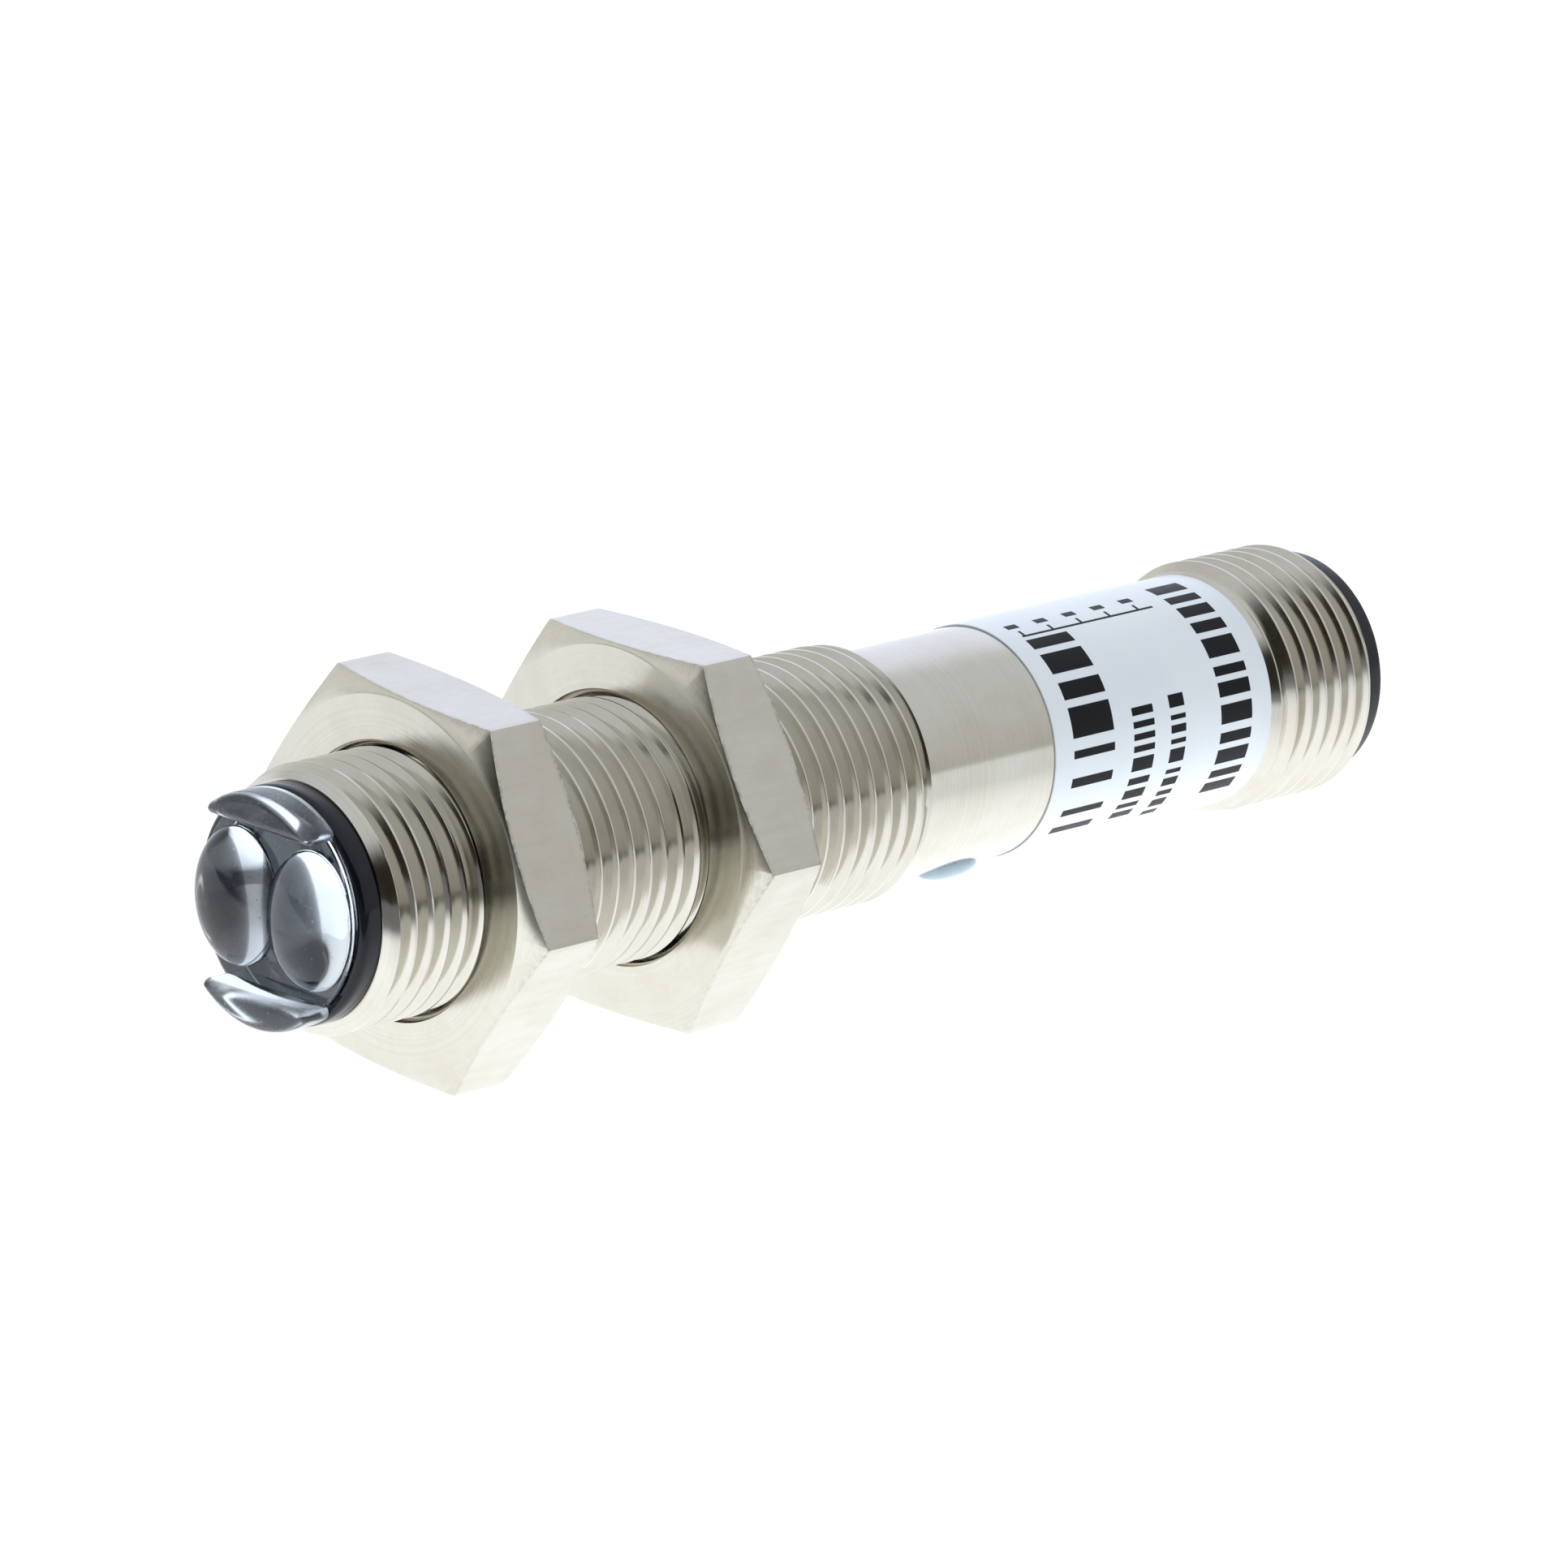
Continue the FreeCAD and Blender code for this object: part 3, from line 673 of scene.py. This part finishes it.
# ---- sub-assemblies
@dataclass
class Housing:
    """Threaded barrel and the connector's shell."""

    front: float = -63.95
    thread_end: float = -30.35
    shell: float = -7.7
    smooth: float = 5.4
    bore: float = 4.95
    mouth: float = 5.28
    mouth_depth: float = 1.2
    shell_thread_end: float = -0.85
    shell_bore: float = 4.55
    spigot: float = 4.93
    spigot_depth: float = 3.5
    bevel: float = 0.04

    def barrel(self) -> None:
        """Barrel: threaded front, smooth rear, open bore with a stepped mouth."""
        thread = FineThread(self.front, self.thread_end)
        step, e = self.front + self.mouth_depth, self.bevel
        tube = [(self.thread_end, self.smooth), (self.shell - e, self.smooth), (self.shell, self.smooth - e),
                (self.shell, self.bore), (step, self.bore), (step, self.mouth), (self.front + e, self.mouth),
                (self.front, self.mouth + e)]
        steel = Nickel("barrel_nickel", mark_height=0.8e-6, roughness=(0.09, 0.18)).material()
        piece = make_piece("threaded_barrel", thread.closed(tube), [steel], crease=25)
        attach(piece, "sensor_body")
        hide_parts("barrel")

    def connector_shell(self) -> None:
        """Connector shell: shoulder chamfer, male thread, end chamfer and spigot."""
        thread = FineThread(self.shell, self.shell_thread_end, start_radius=5.4, end_radius=5.45)
        inside = self.shell - self.spigot_depth
        tube = [(self.shell_thread_end, self.shell_bore), (inside, self.shell_bore), (inside, self.spigot),
                (self.shell, self.spigot)]
        steel = Nickel("shell_nickel", mark_height=0.8e-6, roughness=(0.10, 0.20),
                       stain=(0.56, 0.51, 0.42)).material()
        piece = make_piece("threaded_shell", thread.closed(tube), [steel], crease=25)
        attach(piece, "sensor_body")
        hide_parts("connector_shell")


@dataclass
class HexNut:
    """Hexagon nut on the X axis with chamfered faces and a countersunk bore."""

    node: str
    front: float
    turn: float
    flats: float = 17.0
    thickness: float = 4.0
    bore: float = 6.05
    sink: float = 0.2
    face_radius: float = 8.31
    corner_drop: float = 0.52
    edge: float = 0.05
    corner_power: float = 260.0
    # side of the nut where the painted edge shade is strongest, in degrees
    edge_shade_side: float = 153.0
    columns: int = 360

    def outline(self, angle: np.ndarray) -> np.ndarray:
        """Distance from the axis to the hexagon, its corners softened by a high-power mean over the flats.

        Args:
            angle: angle from +Y towards +Z, in radians.

        Returns:
            The distance.
        """
        flats = np.radians(self.turn + 30 + 60 * np.arange(6))
        cosines = np.maximum(np.cos(angle[:, None] - flats), 0)
        return self.flats / 2 / (cosines ** self.corner_power).sum(axis=1) ** (1 / self.corner_power)

    def surface(self) -> Surface:
        """Closed loop of rings: bore, countersink, turned face, chamfer and flats, then back again.

        Returns:
            The nut's surface, with finish 0 on turned faces and 1 on the flats.
        """
        angle = np.radians(self.turn) + full_turn(self.columns)
        hexagon = self.outline(angle)
        corner = self.flats / 2 / math.cos(math.radians(30))
        drop = (hexagon - self.face_radius) * self.corner_drop / (corner - self.face_radius)
        e, mouth = self.edge, self.bore + self.sink
        # place along the axis, radius and painted edge shade of each ring, from the bore out to the flats
        half = [(self.sink, self.bore, 0.0), (e, mouth - e, 0.1), (0.0, mouth + e, 0.2),
                (0.0, self.face_radius - e, 0.0), (e * 0.2, self.face_radius + 0.6 * e, 0.0),
                (drop - 0.35 * e, hexagon - 0.8 * e, 0.35), (drop, hexagon - 0.25 * e, 1.0),
                (drop + 0.8 * e, hexagon, 0.6), (drop + 4.0 * e, hexagon, 0.0)]
        rings = [(self.front + x, r, w) for x, r, w in half]
        rings += [(self.front + self.thickness - x, r, w) for x, r, w in half[::-1]]
        points = np.stack([around_x(x, r, angle) for x, r, _ in rings])
        # painted edge shade, strongest on the one side where the edge falls dark
        side_shade = 0.18 + 0.82 * np.maximum(np.cos(angle - math.radians(self.edge_shade_side)), 0) ** 6
        edge_shade = np.stack([w * side_shade for _, _, w in rings])
        shape = surface(points, grid_quads(len(rings), self.columns, wrap_rows=True), edge_shade)
        row = np.repeat(np.arange(len(rings)), self.columns)
        shape.finish = ((row >= 6) & (row < len(rings) - 7)).astype(int)
        return shape

    def build(self) -> None:
        """Make the nut, dress it and let it ride its own body."""
        face = Nickel(self.node + "_turned_nickel", colour=(0.62, 0.605, 0.54), mark_height=1.1e-6,
                      roughness=(0.12, 0.20), anisotropy=0.75).material()
        flat = Nickel(self.node + "_drawn_nickel", Marks.DRAWN, mark_height=0.25e-6,
                      roughness=(0.20, 0.28), specks=0.15).material()
        piece = make_piece(self.node + "_plated", self.surface(), [face, flat], crease=20)
        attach(piece, self.node)
        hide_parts(self.node)


@dataclass
class LensHead:
    """Clear lens block with two lobes and two guard lips, and the black ring that holds it."""

    face: float = -65.25
    back: float = -62.6
    plug: float = 4.9
    guard_radius: float = 5.3
    guard_reach: float = 1.38
    guard_root: float = 0.22
    guard_round: float = 0.5
    guard_tip: float = 0.3
    chord: float = 3.7
    lobe_rise: float = 1.4
    lobe_half_width: float = 2.5
    lobe_half_height: float = 3.15
    lobe_offset: float = 2.35
    ring_back: float = -62.75
    ring_front: float = -65.0
    ring_bore: float = 4.92
    ring_radius: float = 5.25
    flange_radius: float = 5.36

    def lobe(self, side: int) -> Surface:
        """Ellipsoid half sunk in the block's face.

        Args:
            side: +1 or -1 along Y.

        Returns:
            Closed ellipsoid.
        """
        rows, columns = 49, 96
        lift = np.linspace(0, np.pi, rows)[:, None]
        spin = full_turn(columns)
        points = np.stack(np.broadcast_arrays(
            self.face - self.lobe_rise * np.cos(lift),
            side * self.lobe_offset + self.lobe_half_width * np.sin(lift) * np.cos(spin),
            self.lobe_half_height * np.sin(lift) * np.sin(spin)), axis=-1)
        return surface(points, grid_quads(rows, columns))

    def lip_outline(self, inset: np.ndarray) -> tuple[np.ndarray, np.ndarray]:
        """Cap of a circle with rounded tips, drawn in by an inset.

        The outline is the points at a distance from a smaller cap, so it never crosses itself.

        Args:
            inset: distance in from the lip's full outline, one value for each ring.

        Returns:
            Sideways and upward places of the outline's points, one row for each ring.
        """
        inner = np.maximum(inset, self.guard_tip)[:, None]
        grow = np.maximum(self.guard_tip - inset, 0)[:, None]
        radius, chord = self.guard_radius - inner, self.chord + inner
        reach = np.arccos(chord / radius)
        arc = reach * np.linspace(-1, 1, 73)[None, :]
        corner = np.linspace(0, 1, 9)[None, :]
        flat = np.linspace(1, -1, 57)[None, 1:-1]
        right = reach + (np.pi - reach) * corner
        left = np.pi + (np.pi - reach) * corner
        angles = np.concatenate([arc, right, np.pi + 0 * (reach * flat), left], axis=1)
        tip = radius * np.sin(reach)
        y = np.concatenate([radius * np.sin(arc), tip + 0 * right, tip * flat, -tip + 0 * left], axis=1)
        z = np.concatenate([radius * np.cos(arc), chord + 0 * angles[:, arc.shape[1]:]], axis=1)
        return y + grow * np.sin(angles), z + grow * np.cos(angles)

    def guard(self, side: int) -> Surface:
        """Lip that stands out from the block's rim, its front edge rounded.

        Args:
            side: +1 for the upper lip, -1 for the lower one.

        Returns:
            Closed lip.
        """
        bend = np.linspace(0, np.pi / 2, 12)
        ahead = np.append(-self.guard_root, self.guard_reach - self.guard_round * (1 - np.sin(bend)))
        y, z = self.lip_outline(np.append(0.0, self.guard_round * (1 - np.cos(bend))))
        points = np.stack([np.broadcast_to((self.face - ahead)[:, None], y.shape), y, side * z], axis=-1)
        middle = side * (self.chord + self.guard_radius) / 2
        root, front = (np.array([self.face - reach, 0.0, middle]) for reach in (ahead[0], self.guard_reach))
        closing = [front + (points[-1] - front) * part for part in (0.66, 0.33, 0.0)]
        points = np.stack([np.broadcast_to(root, points[0].shape), *points, *closing])
        return surface(points, grid_quads(*points.shape[:2]))

    def block(self) -> None:
        """Join the plug, lobes and lips into one closed clear block."""
        clear = Clear("lens_acrylic", frost=0.16).material()
        profile = [(self.back, 0.0), (self.back, self.plug - 0.05), (self.back - 0.05, self.plug),
                   (self.face + 0.12, self.plug), (self.face + 0.04, self.plug - 0.04),
                   (self.face, self.plug - 0.12), (self.face, 0.0)]
        piece = make_piece("lens_clear_block", lathe(profile, columns=192), [clear])
        for shape in (self.lobe(1), self.lobe(-1), self.guard(1), self.guard(-1)):
            tool = make_piece("lens_part", shape, [clear])
            join = piece.modifiers.new("join", "BOOLEAN")
            join.operation, join.solver, join.object = "UNION", "EXACT", tool
            bpy.context.view_layer.update()
            joined = piece.evaluated_get(bpy.context.evaluated_depsgraph_get())
            merged = bpy.data.meshes.new_from_object(joined)
            piece.modifiers.clear()
            piece.data = merged
            bpy.data.objects.remove(tool)
        net = bmesh.new()
        net.from_mesh(piece.data)
        bmesh.ops.remove_doubles(net, verts=net.verts, dist=MM * 0.001)
        net.to_mesh(piece.data)
        net.free()
        piece.data.shade_smooth()
        piece.data.set_sharp_from_angle(angle=math.radians(25))
        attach(piece, "sensor_body")
        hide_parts("lens_block")

    def ring(self) -> None:
        """Glossy black ring between the block and the barrel's mouth, its front edge rounded."""
        flange = Housing.front - 0.01
        profile = rounded([
            (self.ring_back, self.ring_bore, 0.03), (self.ring_back, self.ring_radius, 0.03),
            (flange, self.ring_radius, 0.0), (flange, self.flange_radius, 0.04),
            (self.ring_front, self.flange_radius, 0.40), (self.ring_front, self.ring_bore, 0.05)], steps=8)
        black = Moulded("ring_black", (0.006, 0.008, 0.013), (0.05, 0.12), 0.8e-6, gloss=0.3).material()
        piece = make_piece("lens_black_ring", lathe(profile, closed=True, columns=192), [black])
        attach(piece, "sensor_body")
        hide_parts("lens_ring")


@dataclass
class Label:
    """Wrap-round film label with a generic print."""

    front: float = -22.3
    back: float = -7.75
    inner: float = 5.41
    outer: float = 5.48
    ink_lift: float = 0.006
    seam_start: float = -30.0
    wrap: float = 330.0
    edge: float = 0.02
    bar_widths: tuple = (7, 4, 12, 5, 9, 4, 15, 6, 4, 10, 5, 13, 4, 8, 5, 11)
    # two places along X, first angle, and the length of each dash in degrees
    dash_rows: tuple = ((-17.1, -15.7, 160.0, (5, 4, 4, 4, 9, 5, 7, 4, 6)),
                        (-14.6, -13.6, 158.0, (8, 3, 5, 3, 9, 3, 6, 4, 7, 5)),
                        (-11.2, -9.1, 92.0, (11, 7, 9, 8, 13, 6, 9, 12, 7, 10, 6, 9)))

    def patch(self, x0: float, x1: float, a0: float, a1: float) -> Surface:
        """Inked rectangle bent round the label, just proud of the film.

        Args:
            x0: lower end along X.
            x1: upper end along X.
            a0: first angle, in degrees.
            a1: last angle.

        Returns:
            Closed thin slab.
        """
        angle = np.radians(np.linspace(a0, a1, int((a1 - a0) / 2) + 2))
        x = np.array([x0, x0, x1, x1])[:, None]
        lift = self.ink_lift * np.array([-1, 1, 1, -1])[:, None]
        return capped(around_x(x, self.outer + lift, angle))

    def marks(self) -> Surface:
        """The print: bars, rows of dashes, a ruled line with ticks, and a box with four wires.

        Returns:
            All the inked patches as one surface.
        """
        places: list[tuple] = []
        angle = 112.0
        for number, width in enumerate(self.bar_widths):
            if number % 2 == 0:
                places.append((-21.1, -18.4, angle, angle + width))
            angle += width
        for x0, x1, angle, lengths in self.dash_rows:
            for length in lengths:
                places.append((x0, x1, angle, angle + length * 0.8))
                angle += length + 2.0
        places.append((-21.0, -12.3, 108.0, 109.4))
        for tick in range(5):
            x = 1.9 * tick
            places += [(-20.9 + x, -20.75 + x, 104.0, 108.2), (-21.2 + x, -20.45 + x, 97.0, 101.0)]
        places.append((-20.6, -10.4, 66.0, 67.2))
        for wire in range(4):
            angle = 4.0 + 16.0 * wire
            places += [(-18.4, -11.6, angle, angle + 1.2), (-11.2, -10.2, angle - 2.6, angle + 3.8)]
        places += [(-20.6, -20.4, -2.0, 58.0), (-18.6, -18.4, -2.0, 58.0),
                   (-20.38, -18.62, -2.0, -0.8), (-20.38, -18.62, 56.8, 58.0)]
        first, *others = (self.patch(*place) for place in places)
        return first.joined(*others)

    def build(self) -> None:
        """Make the film and its print."""
        angle = np.radians(np.linspace(self.seam_start, self.seam_start + self.wrap, 181))
        edge = self.outer - self.edge
        loop = [(self.front, self.inner), (self.front, edge), (self.front + self.edge, self.outer),
                (self.back - self.edge, self.outer), (self.back, edge), (self.back, self.inner)]
        x, radius = np.array(loop).T[:, :, None]
        label = make_piece("label_film", capped(around_x(x, radius, angle)), [Film().material()])
        ink = Moulded("label_ink", (0.006, 0.007, 0.010), (0.3, 0.4), 0.5e-6, gloss=0.15).material()
        print_ = make_piece("label_print", self.marks(), [ink])
        for piece in (label, print_):
            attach(piece, "sensor_body")
        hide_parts("rating_label")


@dataclass
class IndicatorWindow:
    """Small clear oval dome over the indicator lamp."""

    centre: float = -25.6
    turn: float = -112.0
    half_length: float = 1.55
    half_width: float = 1.3
    base: float = 5.36
    rise: float = 0.54
    depth: float = 0.3

    def build(self) -> None:
        """Make the dome, which rises from its rim in nearly a quarter circle."""
        columns = 64
        share = np.linspace(0, 1, 17)[:, None]
        spin = full_turn(columns)
        x = self.centre + self.half_length * share * np.cos(spin)
        angle = math.radians(self.turn) + self.half_width * share * np.sin(spin) / self.base
        top = around_x(x, self.base + self.rise * np.sqrt(np.maximum(1 - share ** 2.2, 0)), angle)
        under = around_x(x, self.base - self.depth, angle)[::-1]
        points = np.concatenate([top, under])
        pale = Clear("window_pale", (0.62, 0.78, 0.93), (0.12, 0.25), transmission=0.45, dust=0.0).material()
        piece = make_piece("indicator_dome", surface(points, grid_quads(len(points), columns)), [pale])
        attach(piece, "sensor_body")
        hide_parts("indicator_window")


@dataclass
class PlugInsert:
    """Moulded insert of the connector with its key, and the four gold contacts."""

    rim: float = 5.45
    socket: float = 4.2
    depth: float = 8.6
    floor: float = 3.5
    circle: float = 2.5
    recess: float = 1.0
    body: float = 4.5
    rim_depth: float = 0.85
    key_half_width: float = 0.5
    key_height: float = 0.6
    key_root: float = 0.12
    pin: float = 0.5
    collar: float = 0.7
    tail: float = 0.35
    tail_length: float = 1.6

    def insert(self) -> None:
        """Cup with a rounded rim, and a key rib in its socket."""
        front = -self.depth - self.floor
        rim = rounded([(-self.rim_depth, self.body, 0.0), (-self.rim_depth, self.rim, 0.04),
                       (0.0, self.rim, 0.2), (0.0, self.socket, 0.16), (-self.depth, self.socket, 0.0)],
                      steps=7, closed=False)
        cup = lathe([(front, 0.0), (front, self.body), *rim, (-self.depth, 0.0)])
        y = self.key_half_width * np.array([-1, 1, 1, -1])
        z = self.socket + np.array([-self.key_height] * 2 + [self.key_root] * 2)
        x = np.array([-self.depth - 0.1, -self.recess])[:, None]
        quads = np.concatenate([grid_quads(2, 4), [[3, 2, 1, 0], [4, 5, 6, 7]]])
        rib = surface(np.stack(np.broadcast_arrays(x, y, z), axis=-1), quads)
        black = Moulded("insert_black", (0.008, 0.011, 0.017), (0.14, 0.26), gloss=0.35).material()
        piece = make_piece("plug_insert", cup.joined(rib), [black])
        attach(piece, "sensor_body")
        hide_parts("contact_carrier")

    def contacts(self) -> None:
        """Four turned contacts with rounded noses."""
        gold = Nickel("contact_gold", colour=(0.86, 0.62, 0.26), stain=(0.70, 0.48, 0.18),
                      roughness=(0.15, 0.25)).material()
        floor, top = -self.depth - self.floor, -self.depth + 0.02
        tail = floor - self.tail_length
        profile = rounded([(tail, 0.0, 0.0), (tail, self.tail, 0.05), (floor, self.tail, 0.0),
                           (floor, self.collar, 0.0), (top, self.collar, 0.05), (top, self.pin, 0.0),
                           (-self.recess, self.pin, 0.42), (-self.recess, 0.0, 0.0)], steps=6, closed=False)
        for number in range(4):
            shape = lathe(profile, columns=40)
            shape.points = shape.points + around_x(0.0, self.circle, math.radians(45 + 90 * number))
            piece = make_piece(f"gold_contact_{number + 1}", shape, [gold])
            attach(piece, "sensor_body")
            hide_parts(f"contact_pin_{number + 1}")


@dataclass(frozen=True)
class Internals:
    """Finishes of the parts inside the barrel, which keep their CAD shapes."""

    finishes: tuple = (
        # The blue tint of the holder and filters is painted reflection, the bluish veil seen over the lens;
        # the parts themselves are near black.
        (("optics_holder",), Moulded("holder_black", (0.020, 0.038, 0.070), (0.8, 0.9), gloss=0.0)),
        (("emitter_filter", "receiver_filter"),
         Moulded("filter_painted_veil", (0.018, 0.034, 0.062), (0.7, 0.8), gloss=0.0)),
        (("carrier_seal",), Moulded("seal_rubber", (0.02, 0.02, 0.02), (0.5, 0.7))),
        (("potting_plug",), Moulded("potting_resin", (0.02, 0.02, 0.025), (0.1, 0.2), coat=0.5)),
        (("lead_brown",), Moulded("lead_brown", (0.13, 0.05, 0.02), (0.35, 0.5))),
        (("lead_white",), Moulded("lead_white", (0.72, 0.72, 0.70), (0.35, 0.5), mottle=0.1)),
        (("lead_blue",), Moulded("lead_blue", (0.02, 0.08, 0.36), (0.35, 0.5))),
        (("lead_black",), Moulded("lead_black", (0.015, 0.015, 0.015), (0.35, 0.5))),
        (("optics_board", "main_board"), Board()),
        (("sensor_chip", "voltage_regulator", "output_transistor"),
         Moulded("chip_black", (0.015, 0.015, 0.018), (0.45, 0.6), texture=5e-6)),
        (("indicator_led",), Moulded("led_amber", (0.75, 0.32, 0.05), (0.05, 0.12), coat=0.6)),
        (("emitter_led",), Moulded("emitter_red", (0.45, 0.02, 0.02), (0.05, 0.12), coat=0.6)),
        (("receiver_photodiode",), Moulded("diode_dark", (0.03, 0.008, 0.02), (0.05, 0.12), coat=0.6)),
        (("board_capacitors",), Moulded("capacitor_tan", (0.30, 0.17, 0.08), (0.4, 0.5))),
    )

    def dress(self, frame: dict) -> None:
        """Give each CAD node inside the barrel its own finish.

        Args:
            frame: the loaded frame.
        """
        for names, finish in self.finishes:
            material = finish.material()
            for name in names:
                for place in frame["nodes"][name].material_slots:
                    place.material = material
                LOG.info("%s dressed in %s", name, material.name)


# ---- studio
@dataclass(frozen=True)
class Zone:
    """Part of the surroundings: a soft round patch about a direction, faded out towards its top."""

    aim: tuple[float, float, float]
    reach: Pair
    colour: Colour
    top: Pair = (2.0, 3.0)


@dataclass
class Studio:
    """Pale floor, soft light from above and behind, and the camera."""

    floor_height: float = -8.91
    target: tuple[float, float, float] = (-34.4, 0.0, 0.1)
    distance: float = 449.0
    forward: tuple[float, float, float] = (0.6830, 0.6749, -0.2793)
    roll: float = 2.32
    lens: float = 227.8
    edge_turn: float = 35.0
    table_edge: Pair = (0.075, 0.086)
    # glow levels of the floor's painted light, and its painted dark band past the edge
    painted_dark_past_edge: Colour = (0.05, 0.042, 0.032)
    table_glow: Colour = (1.35, 1.37, 1.39)
    table_side: Colour = (0.84, 0.86, 0.88)
    side_fall: Pair = (-0.026, -0.007)
    table_far: Colour = (1.04, 1.06, 1.08)
    far_fall: Pair = (0.008, 0.024)
    paint: tuple = ((0.3, (0.20, 0.21, 0.22)), (0.7, (0.22, 0.22, 0.23)))
    heights: tuple = ((0.0, (0.62, 0.61, 0.59)), (0.25, (0.68, 0.68, 0.67)),
                      (0.6, (0.74, 0.75, 0.77)), (1.0, (0.85, 0.88, 0.92)))
    zones: tuple[Zone, ...] = (
        Zone((-0.6, 0.78, 0.15), (0.70, 0.88), (0.94, 0.94, 0.92), top=(0.22, 0.44)),
        Zone((-1.0, -0.18, 0.0), (0.76, 0.90), (0.03, 0.024, 0.017), top=(0.08, 0.26)),
        Zone((-0.84, -0.50, 0.18), (0.60, 0.86), (0.03, 0.025, 0.019), top=(0.42, 0.66)),
        Zone((0.62, 0.75, 0.15), (0.62, 0.90), (1.08, 1.14, 1.32)),
    )

    def floor(self) -> None:
        """Large pale floor that glows with painted light: brightest under the sensor, dark past a soft edge.
        """
        mesh = bpy.data.meshes.new("floor")
        size, z = 3.0, self.floor_height * MM
        mesh.from_pydata([(-size, -size, z), (size, -size, z), (size, size, z), (-size, size, z)], [],
                         [(0, 1, 2, 3)])
        floor = bpy.data.objects.new("floor", mesh)
        n = Finish("floor_white", Roughness=0.9, Specular_IOR_Level=0.0, Emission_Strength=1.0)
        turn = math.radians(self.edge_turn)
        x, y = n.axis(n.place, "X"), n.axis(n.place, "Y")
        ahead = n.math("ADD", n.math("MULTIPLY", x, -math.cos(turn)), n.math("MULTIPLY", y, -math.sin(turn)))
        # painted light: the floor glows brightest under the sensor, dimmer to the side and far off, with a
        # painted dark band past the edge; the camera sees plain white
        glow = n.fade(y, *self.side_fall, self.table_side, self.table_glow)
        glow = n.fade(y, *self.far_fall, glow, self.table_far)
        glow = n.fade(ahead, *self.table_edge, glow, self.painted_dark_past_edge)
        n.put(Base_Color=n.ramp(n.noise(6.0, 2.0), self.paint), Emission_Color=n.white_to_camera(glow))
        mesh.materials.append(n.material)
        bpy.context.scene.collection.objects.link(floor)

    def sky(self) -> None:
        """Soft surroundings: a brightness for each height, with the zones laid over it."""
        world = bpy.data.worlds.new("studio")
        bpy.context.scene.world = world
        world.use_nodes = True
        w = Tree(world.node_tree)
        w.tree.nodes.clear()
        direction = w.add("ShaderNodeTexCoord").outputs["Generated"]
        height = w.axis(direction, "Z")
        colour = w.ramp(height, self.heights)
        for zone in self.zones:
            aim = {0: direction, 1: Vector(zone.aim).normalized()}
            facing = w.add("ShaderNodeVectorMath", aim, operation="DOT_PRODUCT").outputs["Value"]
            share = w.math("MULTIPLY", w.span(facing, *zone.reach, curve="SMOOTHSTEP"),
                           w.span(height, *zone.top, 1.0, 0.0, "SMOOTHSTEP"))
            colour = w.blend(share, colour, zone.colour)
        shade = w.add("ShaderNodeBackground", {"Color": w.white_to_camera(colour)})
        w.add("ShaderNodeOutputWorld", {"Surface": shade.outputs[0]})

    def lamps(self) -> None:
        """One large soft lamp straight above, that lights the floor and the tops."""
        lamp = bpy.data.lights.new("overhead", "AREA")
        lamp.shape, lamp.size, lamp.size_y, lamp.energy = "RECTANGLE", 1.2, 1.2, 1.5
        lamp.color = (0.96, 0.98, 1.0)
        holder = bpy.data.objects.new("overhead", lamp)
        holder.location = (0.15, 0.25, 1.2)
        holder.visible_glossy = False
        bpy.context.scene.collection.objects.link(holder)

    def camera(self) -> None:
        """Long lens from the front left, a little above, aimed at the sensor's middle."""
        ahead = Vector(self.forward).normalized()
        side = ahead.cross(Vector((0, 0, 1))).normalized()
        up = side.cross(ahead)
        turn = math.radians(self.roll)
        right = side * math.cos(turn) + up * math.sin(turn)
        top = up * math.cos(turn) - side * math.sin(turn)
        place = (Vector(self.target) - ahead * self.distance) * MM
        data = bpy.data.cameras.new("camera")
        data.lens, data.sensor_width, data.clip_start = self.lens, 36.0, 0.01
        camera = bpy.data.objects.new("camera", data)
        matrix = Matrix((right, top, -ahead)).transposed().to_4x4()
        matrix.translation = place
        camera.matrix_world = matrix
        bpy.context.scene.collection.objects.link(camera)
        bpy.context.scene.camera = camera

    def build(self) -> None:
        """Set up the floor, light, camera and plain colour handling."""
        self.floor()
        self.sky()
        self.lamps()
        self.camera()
        bpy.context.scene.view_settings.view_transform = "Standard"


def main() -> None:
    """Build every sub-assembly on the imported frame, then the studio."""
    logging.basicConfig(level=logging.INFO, format="%(name)s: %(message)s")
    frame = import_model()
    housing = Housing()
    housing.barrel()
    housing.connector_shell()
    HexNut("front_nut", -58.75, 5.2).build()
    HexNut("rear_nut", -45.25, 0.0).build()
    head = LensHead()
    head.block()
    head.ring()
    Label().build()
    IndicatorWindow().build()
    insert = PlugInsert()
    insert.insert()
    insert.contacts()
    Internals().dress(frame)
    Studio().build()


if __name__ == "__main__":
    main()
